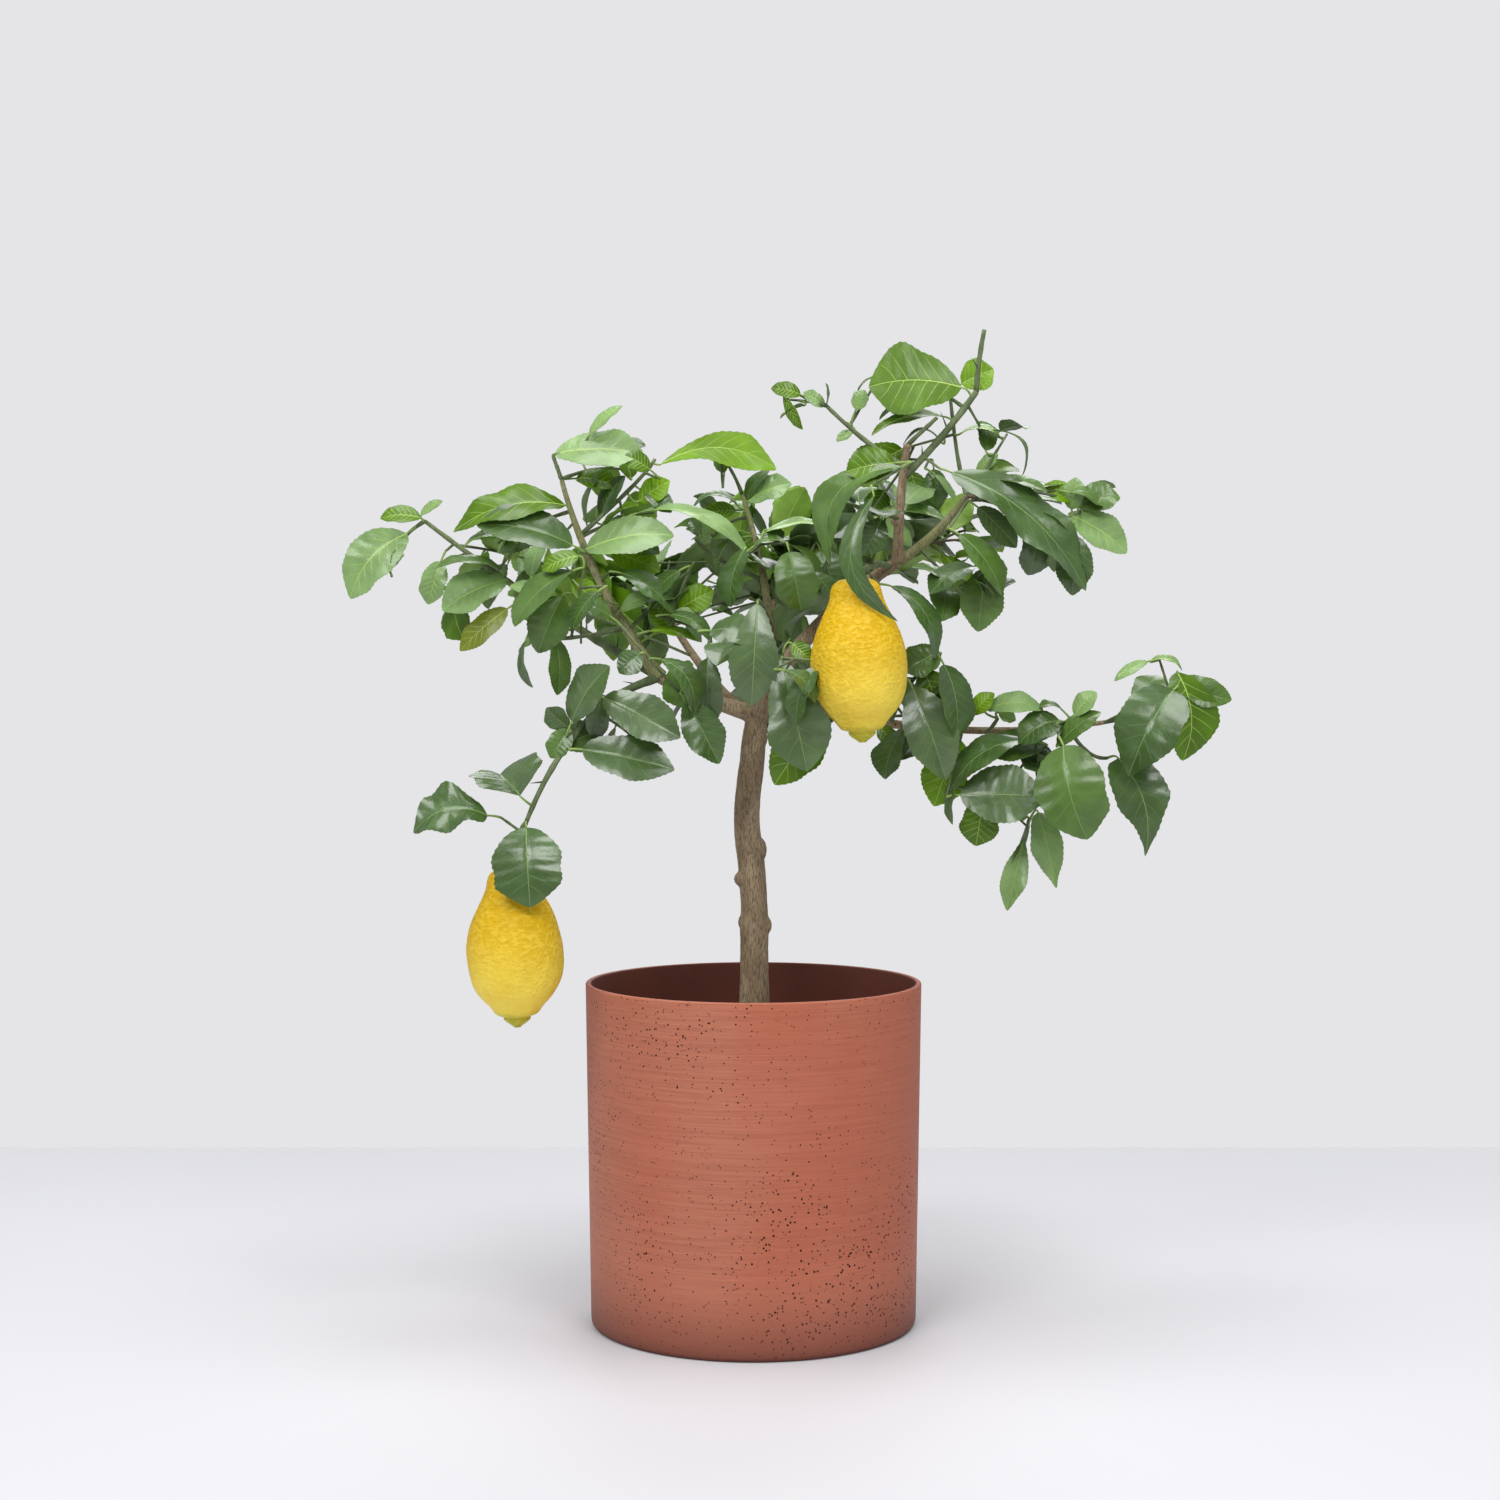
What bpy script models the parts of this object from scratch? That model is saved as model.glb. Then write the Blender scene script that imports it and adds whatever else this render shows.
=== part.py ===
"""A young lemon tree in a plain round pot: pot, soil, trunk, boughs and the masses of its foliage.

Metres, +Z up. The origin is the centre of the pot's flat underside, and -Y is the front.
Every limb is a tapered tube along a bowed curve that starts on the axis of the limb that bears it.
Every mass of foliage is one uneven closed body, kept on its own side of its neighbours.
"""

import math

import bmesh
import bpy
from mathutils import Matrix, Vector, noise

# Pot and soil
POT_HEIGHT = 0.2335
POT_TOP_RADIUS = 0.115
POT_FOOT_RADIUS = 0.1115
POT_WALL = 0.004
POT_FLOOR = 0.008
POT_FOOT_ROUND = 0.0035
POT_LIP_ROUND = 0.0012
POT_SIDES = 48
SOIL_BELOW_RIM = 0.038
SOIL_EDGE_DROP = 0.003

# Space left between two solids, and the larger one round a limb that is cut out of something
GAP = 0.0003
CLEARANCE = 0.0005

# Trunk: a slight bow to the left at half height, then a lean to the right up to its fork
TRUNK_TOP_Z = 0.4523
TRUNK_BOW = 0.0052
TRUNK_BOW_Z = 0.347
TRUNK_BOW_SPREAD = 0.035
TRUNK_LEAN = 0.0203
TRUNK_LEAN_FROM_Z = 0.390
TRUNK_LEAN_POWER = 2.2
TRUNK_FOOT_RADIUS = 0.0104
TRUNK_TOP_RADIUS = 0.0080
TRUNK_FLARE = 0.0036
TRUNK_FLARE_HEIGHT = 0.011
TRUNK_RINGS = 20
TRUNK_SIDES = 14

LIMB_RINGS = 8
LIMB_SIDES = 8

MASS_MERIDIANS = 11
MASS_PARALLELS = 7
LUMP = 0.16
LUMP_SCALE = 1.9
FINE_LUMP = 0.03
FINE_LUMP_SCALE = 4.6
FRUIT_SMOOTHNESS = 0.25

SOIL_TOP = POT_HEIGHT - SOIL_BELOW_RIM

# Each limb: the limb that bears it and how far along, its tip, how far its middle bows from the
# straight line, its radii at foot and tip, and the masses that it ends in.
LIMBS = {
    "left_bough": dict(
        parent="trunk", at=0.86, tip=(-0.0656, -0.010, 0.4428), bow=(0, 0, -0.0025), radii=(0.0060, 0.0040)
    ),
    "far_left_bough": dict(
        parent="left_bough", at=0.88, tip=(-0.2281, 0.030, 0.5503), bow=(0, 0.004, -0.0045),
        radii=(0.0034, 0.0014), ends_in=("far_left_tip",),
    ),
    "upper_left_bough": dict(
        parent="left_bough", at=0.97, tip=(-0.1310, 0, 0.5770), bow=(-0.0070, 0, -0.0030),
        radii=(0.0044, 0.0018), ends_in=("left_crest",),
    ),
    "low_left_bough": dict(
        parent="left_bough", at=0.97, tip=(-0.1493, -0.080, 0.3469), bow=(-0.0060, -0.006, 0.0170),
        radii=(0.0030, 0.0015), ends_in=("left_lemon",),
    ),
    "right_bough": dict(
        parent="trunk", at=0.97, tip=(0.0975, -0.020, 0.5195), bow=(0, 0, 0.0070), radii=(0.0058, 0.0040)
    ),
    "centre_bough": dict(
        parent="trunk", at=0.95, tip=(-0.0079, 0.020, 0.5682), bow=(0.0055, 0, 0), radii=(0.0042, 0.0016),
        ends_in=("centre_top",),
    ),
    "pruned_stub": dict(
        parent="right_bough", at=1.0, tip=(0.1028, -0.030, 0.5974), bow=(-0.0015, 0, 0), radii=(0.0038, 0.0026)
    ),
    "upper_right_bough": dict(
        parent="right_bough", at=0.97, tip=(0.1439, -0.020, 0.5641), bow=(0.0020, 0, -0.0025),
        radii=(0.0036, 0.0027), ends_in=("right_shoulder",),
    ),
    "top_bough": dict(
        parent="pruned_stub", at=0.72, tip=(0.1507, -0.012, 0.6350), bow=(0.0010, 0, -0.0015),
        radii=(0.0025, 0.0021),
    ),
    "top_tip": dict(
        parent="top_bough", at=1.0, tip=(0.1560, -0.012, 0.6768), bow=(-0.0008, 0, 0), radii=(0.0019, 0.0015)
    ),
    "top_left_bough": dict(
        parent="pruned_stub", at=0.82, tip=(0.0488, -0.020, 0.6252), bow=(0, 0, -0.0030),
        radii=(0.0020, 0.0012), ends_in=("top_left",),
    ),
    "low_right_bough": dict(
        parent="trunk", at=0.91, tip=(0.2376, -0.020, 0.4117), bow=(0, -0.004, -0.0130),
        radii=(0.0040, 0.0018), ends_in=("right_low", "far_right"),
    ),
    "back_left_bough": dict(
        parent="trunk", at=0.84, tip=(-0.0700, 0.115, 0.5000), bow=(0, 0.010, -0.0100),
        radii=(0.0042, 0.0022), ends_in=("back_left",),
    ),
    "back_bough": dict(
        parent="trunk", at=0.93, tip=(0.0150, 0.130, 0.5200), bow=(0, 0.010, -0.0100),
        radii=(0.0042, 0.0022), ends_in=("back_centre",),
    ),
    "back_right_bough": dict(
        parent="right_bough", at=0.30, tip=(0.1050, 0.110, 0.5300), bow=(0, 0.010, -0.0060),
        radii=(0.0034, 0.0020), ends_in=("back_right",),
    ),
}

# Each mass: centre, half sizes, and how far it is turned about Y, in degrees.
MASSES = {
    "far_left_tip": ((-0.251, 0.030, 0.530), (0.030, 0.035, 0.036), 15),
    "far_left": ((-0.199, 0.020, 0.495), (0.036, 0.035, 0.031), 0),
    "left_shoulder": ((-0.164, -0.005, 0.549), (0.042, 0.035, 0.023), -12),
    "left_crest": ((-0.101, 0.000, 0.595), (0.036, 0.035, 0.029), 0),
    "bright_leaf": ((-0.024, 0.008, 0.594), (0.042, 0.025, 0.016), 8),
    "left_upper": ((-0.084, 0.000, 0.549), (0.040, 0.045, 0.025), 0),
    "left_mid": ((-0.128, -0.055, 0.483), (0.037, 0.040, 0.042), 0),
    "left_inner": ((-0.060, -0.020, 0.491), (0.042, 0.045, 0.034), 0),
    "left_low": ((-0.098, -0.068, 0.413), (0.042, 0.035, 0.038), 15),
    "left_heart": ((-0.037, -0.055, 0.430), (0.022, 0.030, 0.047), 0),
    "left_lemon_leaves": ((-0.186, -0.080, 0.368), (0.039, 0.030, 0.027), 0),
    "left_lemon": ((-0.154, -0.080, 0.275), (0.034, 0.034, 0.068), 0),
    "centre_top": ((-0.020, 0.020, 0.547), (0.040, 0.040, 0.031), 0),
    "centre": ((0.026, -0.010, 0.518), (0.038, 0.040, 0.035), 0),
    "fork_front": ((-0.009, -0.080, 0.467), (0.021, 0.028, 0.046), 0),
    "trunk_front": ((0.029, -0.080, 0.415), (0.025, 0.028, 0.048), 0),
    "right_lemon": ((0.070, -0.085, 0.452), (0.033, 0.034, 0.056), 0),
    "lemon_arch": ((0.069, -0.078, 0.543), (0.028, 0.030, 0.039), 0),
    "top_left": ((0.035, -0.020, 0.628), (0.028, 0.022, 0.018), 0),
    "top": ((0.114, -0.010, 0.639), (0.048, 0.035, 0.033), 0),
    "right_heart": ((0.105, 0.030, 0.558), (0.042, 0.040, 0.035), 0),
    "right_crest": ((0.168, 0.000, 0.602), (0.027, 0.025, 0.021), 15),
    "right_shoulder": ((0.189, -0.045, 0.540), (0.055, 0.033, 0.034), 40),
    "far_right_high": ((0.236, 0.015, 0.553), (0.028, 0.030, 0.028), 20),
    "right_mid": ((0.140, -0.055, 0.496), (0.042, 0.035, 0.031), 0),
    "right_low_inner": ((0.115, -0.042, 0.414), (0.038, 0.035, 0.049), 0),
    "right_low": ((0.188, -0.042, 0.384), (0.047, 0.038, 0.045), 0),
    "right_hanging": ((0.180, -0.035, 0.318), (0.023, 0.022, 0.034), 0),
    "far_right": ((0.281, -0.020, 0.427), (0.043, 0.038, 0.036), -10),
    "far_right_drop": ((0.258, -0.020, 0.353), (0.017, 0.022, 0.036), 0),
    "back_left": ((-0.074, 0.120, 0.507), (0.056, 0.048, 0.045), 0),
    "back_centre": ((0.015, 0.150, 0.529), (0.056, 0.045, 0.048), 0),
    "back_right": ((0.109, 0.122, 0.539), (0.052, 0.045, 0.042), 0),
    "back_low": ((0.020, 0.095, 0.455), (0.048, 0.042, 0.036), 0),
    "back_far_left": ((-0.150, 0.085, 0.505), (0.042, 0.042, 0.036), 0),
    "back_far_right": ((0.162, 0.082, 0.510), (0.038, 0.040, 0.032), 0),
}

# Colours as they look, 0 to 255
COLOURS = {
    "pot": (178, 108, 84),
    "soil": (62, 48, 38),
    "bark": (128, 108, 90),
    "green_bark": (96, 106, 78),
    "leaves": (74, 108, 60),
    "young_leaves": (116, 158, 62),
}
GREEN_LIMBS = {"top_bough", "top_tip", "top_left_bough", "far_left_bough", "low_left_bough"}
YOUNG_MASSES = {"far_left_tip", "left_shoulder", "bright_leaf", "top", "top_left", "far_right_high"}

# The space that a hanging lemon fills is smoother than one full of leaves
FRUIT_MASSES = {"left_lemon", "right_lemon"}


def material(colour, roughness):
    found = bpy.data.materials.get(colour)
    if found:
        return found
    made = bpy.data.materials.new(colour)
    made.use_nodes = True
    shader = made.node_tree.nodes["Principled BSDF"]
    linear = [(value / 255) ** 2.2 for value in COLOURS[colour]]
    shader.inputs["Base Color"].default_value = (*linear, 1)
    shader.inputs["Roughness"].default_value = roughness
    return made


def as_object(name, mesh_in_progress, colour, roughness, smooth_angle=None):
    """A scene object of flat triangles from a bmesh, which is freed."""
    bmesh.ops.triangulate(mesh_in_progress, faces=mesh_in_progress.faces)
    bmesh.ops.recalc_face_normals(mesh_in_progress, faces=mesh_in_progress.faces)
    mesh = bpy.data.meshes.new(name)
    mesh_in_progress.to_mesh(mesh)
    mesh_in_progress.free()
    if smooth_angle:
        mesh.shade_smooth()
        mesh.set_sharp_from_angle(angle=math.radians(smooth_angle))
    made = bpy.data.objects.new(name, mesh)
    mesh.materials.append(material(colour, roughness))
    bpy.context.scene.collection.objects.link(made)
    return made


def turned(profile, sides):
    """A closed body turned about Z from (radius, height) pairs that start and end on the axis."""
    made = bmesh.new()
    corners = [made.verts.new((radius, 0, height)) for radius, height in profile]
    edges = [made.edges.new(pair) for pair in zip(corners, corners[1:])]
    bmesh.ops.spin(
        made, geom=corners + edges, axis=(0, 0, 1), cent=(0, 0, 0), steps=sides, angle=math.tau, use_merge=True
    )
    bmesh.ops.remove_doubles(made, verts=made.verts, dist=1e-6)
    return made


def rounded_corner(centre, radius, start_degrees, end_degrees, steps=3):
    """Points of an arc in a turned body's profile."""
    angles = [math.radians(start_degrees + (end_degrees - start_degrees) * i / steps) for i in range(steps + 1)]
    return [(centre[0] + radius * math.cos(a), centre[1] + radius * math.sin(a)) for a in angles]


def make_pot():
    inner_top = POT_TOP_RADIUS - POT_WALL
    inner_floor = POT_FOOT_RADIUS - POT_WALL
    foot = rounded_corner((POT_FOOT_RADIUS - POT_FOOT_ROUND, POT_FOOT_ROUND), POT_FOOT_ROUND, -90, 0)
    outer_lip = rounded_corner(
        (POT_TOP_RADIUS - POT_LIP_ROUND, POT_HEIGHT - POT_LIP_ROUND), POT_LIP_ROUND, 0, 90, 2
    )
    inner_lip = rounded_corner((inner_top + POT_LIP_ROUND, POT_HEIGHT - POT_LIP_ROUND), POT_LIP_ROUND, 90, 180, 2)
    profile = [(0, 0), *foot, *outer_lip, *inner_lip, (inner_floor, POT_FLOOR), (0, POT_FLOOR)]
    return as_object("pot", turned(profile, POT_SIDES), "pot", 0.55, smooth_angle=35)


def inner_radius_at(height):
    """Radius of the pot's inside at a height above the ground."""
    share = (height - POT_FLOOR) / (POT_HEIGHT - POT_FLOOR)
    return POT_FOOT_RADIUS + (POT_TOP_RADIUS - POT_FOOT_RADIUS) * share - POT_WALL


def make_soil():
    """The root ball fills the pot up to a flat top round the trunk, and falls a little towards the wall."""
    play = 2 * CLEARANCE
    foot_z = POT_FLOOR + GAP
    edge_z = SOIL_TOP - SOIL_EDGE_DROP
    profile = [
        (0, foot_z),
        (inner_radius_at(foot_z) - play, foot_z),
        (inner_radius_at(edge_z) - play, edge_z),
        (0.55 * POT_TOP_RADIUS, SOIL_TOP),
        (0, SOIL_TOP),
    ]
    return as_object("soil", turned(profile, POT_SIDES // 2), "soil", 0.95)


def trunk_axis(share):
    height = SOIL_TOP + GAP
    z = height + (TRUNK_TOP_Z - height) * share
    bow = TRUNK_BOW * math.exp(-(((z - TRUNK_BOW_Z) / TRUNK_BOW_SPREAD) ** 2))
    rise = max(0.0, (z - TRUNK_LEAN_FROM_Z) / (TRUNK_TOP_Z - TRUNK_LEAN_FROM_Z))
    return Vector((TRUNK_LEAN * rise**TRUNK_LEAN_POWER - bow + 0.0006, 0, z))


def trunk_radius(share):
    above_soil = share * (TRUNK_TOP_Z - SOIL_TOP)
    flare = TRUNK_FLARE * math.exp(-above_soil / TRUNK_FLARE_HEIGHT)
    return TRUNK_FOOT_RADIUS + (TRUNK_TOP_RADIUS - TRUNK_FOOT_RADIUS) * share + flare


def limb_axis(name, share):
    """A point on a limb's axis, from its foot at 0 to its tip at 1."""
    if name == "trunk":
        return trunk_axis(share)
    limb = LIMBS[name]
    foot, tip = limb_axis(limb["parent"], limb["at"]), Vector(limb["tip"])
    pull = (foot + tip) / 2 + 2 * Vector(limb["bow"])
    return foot * (1 - share) ** 2 + pull * 2 * share * (1 - share) + tip * share**2


def limb_radius(name, share):
    if name == "trunk":
        return trunk_radius(share)
    foot, tip = LIMBS[name]["radii"]
    return foot + (tip - foot) * share


def tube(name, extra=0.0):
    """A limb's closed tapered tube, as much wider all round and longer at its tip as extra says."""
    rings, sides = (TRUNK_RINGS, TRUNK_SIDES) if name == "trunk" else (LIMB_RINGS, LIMB_SIDES)
    shares = [i / (rings - 1) for i in range(rings)]
    points = [limb_axis(name, share) for share in shares]
    made = bmesh.new()
    across = Vector((0, 1, 0))
    loops = []
    for i, (share, point) in enumerate(zip(shares, points)):
        along = (points[min(i + 1, rings - 1)] - points[max(i - 1, 0)]).normalized()
        if name == "trunk" and i == 0:
            along = Vector((0, 0, 1))
        across = (across - along * across.dot(along)).normalized()
        side = along.cross(across)
        end = -extra if i == 0 else extra if i == rings - 1 else 0.0
        radius = limb_radius(name, share) + extra
        loop = []
        for k in range(sides):
            angle = math.tau * k / sides
            spoke = across * math.cos(angle) + side * math.sin(angle)
            loop.append(made.verts.new(point + along * end + spoke * radius))
        loops.append(loop)
    for lower, upper in zip(loops, loops[1:]):
        for k in range(sides):
            made.faces.new((lower[k], lower[(k + 1) % sides], upper[(k + 1) % sides], upper[k]))
    made.faces.new(reversed(loops[0]))
    made.faces.new(loops[-1])
    return made


def reach(mass, direction):
    """How far a mass reaches from its centre along a direction, as a smooth ellipsoid."""
    _, halves, turn = MASSES[mass]
    local = Matrix.Rotation(-math.radians(turn), 3, "Y") @ direction
    return math.sqrt(sum((half * part) ** 2 for half, part in zip(halves, local)))


def fences(mass):
    """(direction, furthest reach) of the plane between this mass and each of the others."""
    centre = Vector(MASSES[mass][0])
    found = []
    for other, (other_centre, _, _) in MASSES.items():
        if other == mass:
            continue
        way = Vector(other_centre) - centre
        distance = way.length
        way.normalize()
        own, others = reach(mass, way), reach(other, -way)
        found.append((way, distance * own / (own + others) - GAP))
    return found


def mass_body(mass, extra=0.0):
    """A mass's uneven closed body. It stays inside its fences, and extra swells it all round."""
    centre, halves, turn = MASSES[mass]
    spin = Matrix.Rotation(math.radians(turn), 3, "Y")
    own_noise = Vector((7.3, 3.1, 5.7)) * (1 + list(MASSES).index(mass))
    limits = fences(mass)
    evenness = FRUIT_SMOOTHNESS if mass in FRUIT_MASSES else 1
    made = bmesh.new()
    bmesh.ops.create_uvsphere(made, u_segments=MASS_MERIDIANS, v_segments=MASS_PARALLELS, radius=1)
    for vert in made.verts:
        lump = LUMP * noise.noise(vert.co * LUMP_SCALE + own_noise)
        lump += FINE_LUMP * noise.noise(vert.co * FINE_LUMP_SCALE - own_noise)
        swell = 1 + 2 * lump * evenness
        offset = spin @ Vector([half * part * swell for half, part in zip(halves, vert.co)])
        for way, furthest in limits:
            toward = offset.dot(way)
            if toward > furthest:
                offset *= furthest / toward
        vert.co = Vector(centre) + offset + offset.normalized() * extra
    return made


def apart(corners_a, corners_b):
    """Whether two boxes given as (lowest, highest) corners are clear of each other."""
    return any(corners_a[1][i] < corners_b[0][i] or corners_b[1][i] < corners_a[0][i] for i in range(3))


def corners_of(mesh):
    return [Vector([pick(v.co[i] for v in mesh.vertices) for i in range(3)]) for pick in (min, max)]


def keep_one_piece(mesh, point):
    """Leaves the connected piece of a mesh that is nearest to a point, or the largest if there is no point."""
    work = bmesh.new()
    work.from_mesh(mesh)
    left, islands = set(work.verts), []
    while left:
        todo, island = [left.pop()], []
        while todo:
            vert = todo.pop()
            island.append(vert)
            for edge in vert.link_edges:
                other = edge.other_vert(vert)
                if other in left:
                    left.remove(other)
                    todo.append(other)
        islands.append(island)
    if point is None:
        kept = max(islands, key=len)
    else:
        kept = min(islands, key=lambda island: min((vert.co - point).length for vert in island))
    spare = [vert for island in islands if island is not kept for vert in island]
    bmesh.ops.delete(work, geom=spare, context="VERTS")
    work.to_mesh(mesh)
    work.free()


def cut_away(target, cutter_bodies, keep_near=None):
    """Takes closed bodies out of an object's solid and keeps one connected piece."""
    for body in cutter_bodies:
        cutter = as_object("cutter", body, "bark", 0.8)
        cutter.hide_render = True
        cutter.display_type = "WIRE"
        if apart(corners_of(target.data), corners_of(cutter.data)):
            bpy.data.objects.remove(cutter)
            continue
        cut = target.modifiers.new("cut", "BOOLEAN")
        cut.operation, cut.solver, cut.object = "DIFFERENCE", "EXACT", cutter
        graph = bpy.context.evaluated_depsgraph_get()
        result = bpy.data.meshes.new_from_object(target.evaluated_get(graph))
        target.modifiers.clear()
        old, target.data = target.data, result
        bpy.data.meshes.remove(old)
        bpy.data.objects.remove(cutter)
    keep_one_piece(target.data, keep_near)


def make_limbs():
    made = {"trunk": as_object("trunk", tube("trunk"), "bark", 0.85, smooth_angle=40)}
    for name, limb in LIMBS.items():
        colour = "green_bark" if name in GREEN_LIMBS else "bark"
        obj = as_object(name, tube(name), colour, 0.7, smooth_angle=40)
        cutters = [tube(other, CLEARANCE) for other in made]
        cutters += [mass_body(mass, 2 * CLEARANCE) for mass in limb.get("ends_in", ())]
        near_foot = limb_axis(name, 0.0)
        cut_away(obj, cutters, keep_near=near_foot)
        made[name] = obj
    return made


def make_masses():
    """Every mass is cut round the limbs that pass it. A limb that ends in it was trimmed instead."""
    for mass in MASSES:
        colour = "young_leaves" if mass in YOUNG_MASSES else "leaves"
        obj = as_object(mass, mass_body(mass), colour, 0.5)
        passing = [name for name, limb in LIMBS.items() if mass not in limb.get("ends_in", ())]
        cut_away(obj, [tube(name, CLEARANCE) for name in ["trunk", *passing]])


def main():
    for obj in list(bpy.data.objects):
        bpy.data.objects.remove(obj)
    make_pot()
    make_soil()
    make_limbs()
    make_masses()


main()
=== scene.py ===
import math
import random

import bpy
import numpy as np
from mathutils import Matrix, Vector, kdtree, noise


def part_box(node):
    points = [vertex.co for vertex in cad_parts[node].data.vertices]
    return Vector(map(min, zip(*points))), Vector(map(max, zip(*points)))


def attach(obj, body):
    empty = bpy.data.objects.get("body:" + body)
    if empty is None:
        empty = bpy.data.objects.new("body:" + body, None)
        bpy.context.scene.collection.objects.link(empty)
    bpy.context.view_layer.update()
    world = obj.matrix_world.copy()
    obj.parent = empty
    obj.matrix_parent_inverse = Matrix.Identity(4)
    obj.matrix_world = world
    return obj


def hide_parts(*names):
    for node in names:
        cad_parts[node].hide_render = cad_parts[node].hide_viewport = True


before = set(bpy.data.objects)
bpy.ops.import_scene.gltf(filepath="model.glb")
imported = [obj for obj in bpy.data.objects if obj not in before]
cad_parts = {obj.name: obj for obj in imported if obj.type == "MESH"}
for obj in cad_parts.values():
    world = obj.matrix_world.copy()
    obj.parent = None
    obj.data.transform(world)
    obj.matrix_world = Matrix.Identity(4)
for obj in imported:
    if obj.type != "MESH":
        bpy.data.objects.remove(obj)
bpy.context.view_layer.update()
mm = 0.001

# Materials. Arithmetic on a Wire adds Math nodes, Nodes holds a node tree, and a Paint is one material.


class Wire:
    def __init__(self, nodes, socket):
        self.nodes = nodes
        self.socket = socket

    def __add__(self, other):
        return self.nodes.maths("ADD", self, other)

    def __sub__(self, other):
        return self.nodes.maths("SUBTRACT", self, other)

    def __rsub__(self, other):
        return self.nodes.maths("SUBTRACT", other, self)

    def __mul__(self, other):
        return self.nodes.maths("MULTIPLY", self, other)

    __radd__ = __add__
    __rmul__ = __mul__


class Nodes:
    def __init__(self, tree):
        self.tree = tree

    def feed(self, socket, value):
        if isinstance(value, Wire):
            self.tree.links.new(value.socket, socket)
        else:
            socket.default_value = value

    def node(self, kind, settings=None, sockets=None, out=0):
        made = self.tree.nodes.new(kind)
        for key, value in (settings or {}).items():
            setattr(made, key, value)
        for key, value in (sockets or {}).items():
            self.feed(made.inputs[key], value)
        return Wire(self, made.outputs[out])

    def maths(self, operation, first, second):
        return self.node("ShaderNodeMath", {"operation": operation}, {0: first, 1: second})

    def mix(self, amount, first, second):
        return self.node("ShaderNodeMix", {"data_type": "RGBA"}, {0: amount, 6: first, 7: second}, out=2)

    def place(self, stretch=(1, 1, 1)):
        spot = self.node("ShaderNodeTexCoord", out="Object")
        return self.node("ShaderNodeVectorMath", {"operation": "MULTIPLY"}, {0: spot, 1: stretch})

    def height(self):
        return self.node("ShaderNodeSeparateXYZ", sockets={0: self.place()}, out=2)

    def distance(self, stretch=(1, 1, 1)):
        # from the origin, or from the upright line through it where the stretch leaves height out
        return self.node("ShaderNodeVectorMath", {"operation": "LENGTH"}, {0: self.place(stretch)}, out=1)

    def cloud(self, scale, stretch=(1, 1, 1), detail=3.0, rough=0.5):
        sockets = {"Vector": self.place(stretch), "Scale": scale, "Detail": detail, "Roughness": rough}
        return self.node("ShaderNodeTexNoise", sockets=sockets)

    def cells(self, feature, scale):
        sockets = {"Vector": self.place(), "Scale": scale}
        return self.node("ShaderNodeTexVoronoi", {"feature": feature}, sockets)

    def between(self, value, low, high):
        # 0 at low and 1 at high, with a soft start and end
        sockets = {"Value": value, "From Min": low, "From Max": high}
        return self.node("ShaderNodeMapRange", {"interpolation_type": "SMOOTHSTEP"}, sockets)


class Paint(Nodes):
    def __init__(self, name, **sockets):
        self.material = bpy.data.materials.new(name)
        self.material.use_nodes = True
        super().__init__(self.material.node_tree)
        self.shader = self.tree.nodes["Principled BSDF"]
        for key, value in sockets.items():
            self.set(key, value)

    def set(self, key, value):
        self.feed(self.shader.inputs[key.replace("_", " ")], value)

    def bump(self, height, depth, strength):
        sockets = {"Height": height, "Distance": depth, "Strength": strength}
        self.set("Normal", self.node("ShaderNodeBump", sockets=sockets))


def shade(red, green, blue):
    # a colour as it looks, 0 to 255, as Blender's linear values
    parts = [value / 255 for value in (red, green, blue)]
    return (*[part / 12.92 if part <= 0.04045 else ((part + 0.055) / 1.055) ** 2.4 for part in parts], 1.0)


def tinted(colour, factor):
    return (*[min(1.0, part * factor) for part in colour[:3]], 1.0)


# Meshes. A Heap gathers many small shapes, and turns into a few joined pieces.

mostTriangles = 190000  # in one piece


def meshObject(name, points, quads, paint, smooth=True):
    mesh = bpy.data.meshes.new(name)
    mesh.vertices.add(len(points))
    mesh.vertices.foreach_set("co", np.asarray(points, np.float32).ravel())
    mesh.loops.add(quads.size)
    mesh.loops.foreach_set("vertex_index", quads.astype(np.int32).ravel())
    mesh.polygons.add(len(quads))
    mesh.polygons.foreach_set("loop_start", np.arange(len(quads), dtype=np.int32) * quads.shape[1])
    mesh.polygons.foreach_set("use_smooth", np.full(len(quads), smooth))
    mesh.update(calc_edges=True)
    mesh.validate()
    mesh.materials.append(paint.material)
    return linked(name, mesh)


def linked(name, data):
    made = bpy.data.objects.new(name, data)
    bpy.context.scene.collection.objects.link(made)
    return made


def joined(name, shapes, paint):
    first = np.cumsum([0] + [len(points) for points, _ in shapes[:-1]])
    points = np.concatenate([points for points, _ in shapes])
    quads = np.concatenate([quads + start for (_, quads), start in zip(shapes, first)])
    return meshObject(name, points, quads, paint)


def settle(piece, replaced=()):
    # the tree is one body, so every piece rides on root
    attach(piece, "root")
    if replaced:
        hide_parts(*replaced)


class Heap:
    def __init__(self):
        self.shapes = []

    def add(self, points, quads):
        self.shapes.append((np.asarray(points, np.float32), np.asarray(quads, np.int32)))

    def pieces(self, name, paint, slotName, replaced=()):
        batches = []
        size = 0
        for shape in self.shapes:
            triangles = 2 * len(shape[1])
            if not batches or size + triangles > mostTriangles:
                batches.append([])
                size = 0
            batches[-1].append(shape)
            size += triangles
        for number, batch in enumerate(batches, 1):
            settle(joined(f"{name}_{number}", batch, paint), replaced)


def gridQuads(rows, columns, wrap=False):
    # quads of a sheet of rows by columns points, or of a pipe if it wraps
    across = columns if wrap else columns - 1
    row, column = np.meshgrid(np.arange(rows - 1), np.arange(across), indexing="ij")
    here = (row * columns + column).ravel()
    beside = (row * columns + (column + 1) % columns).ravel()
    return np.stack([here, beside, beside + columns, here + columns], 1)


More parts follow.
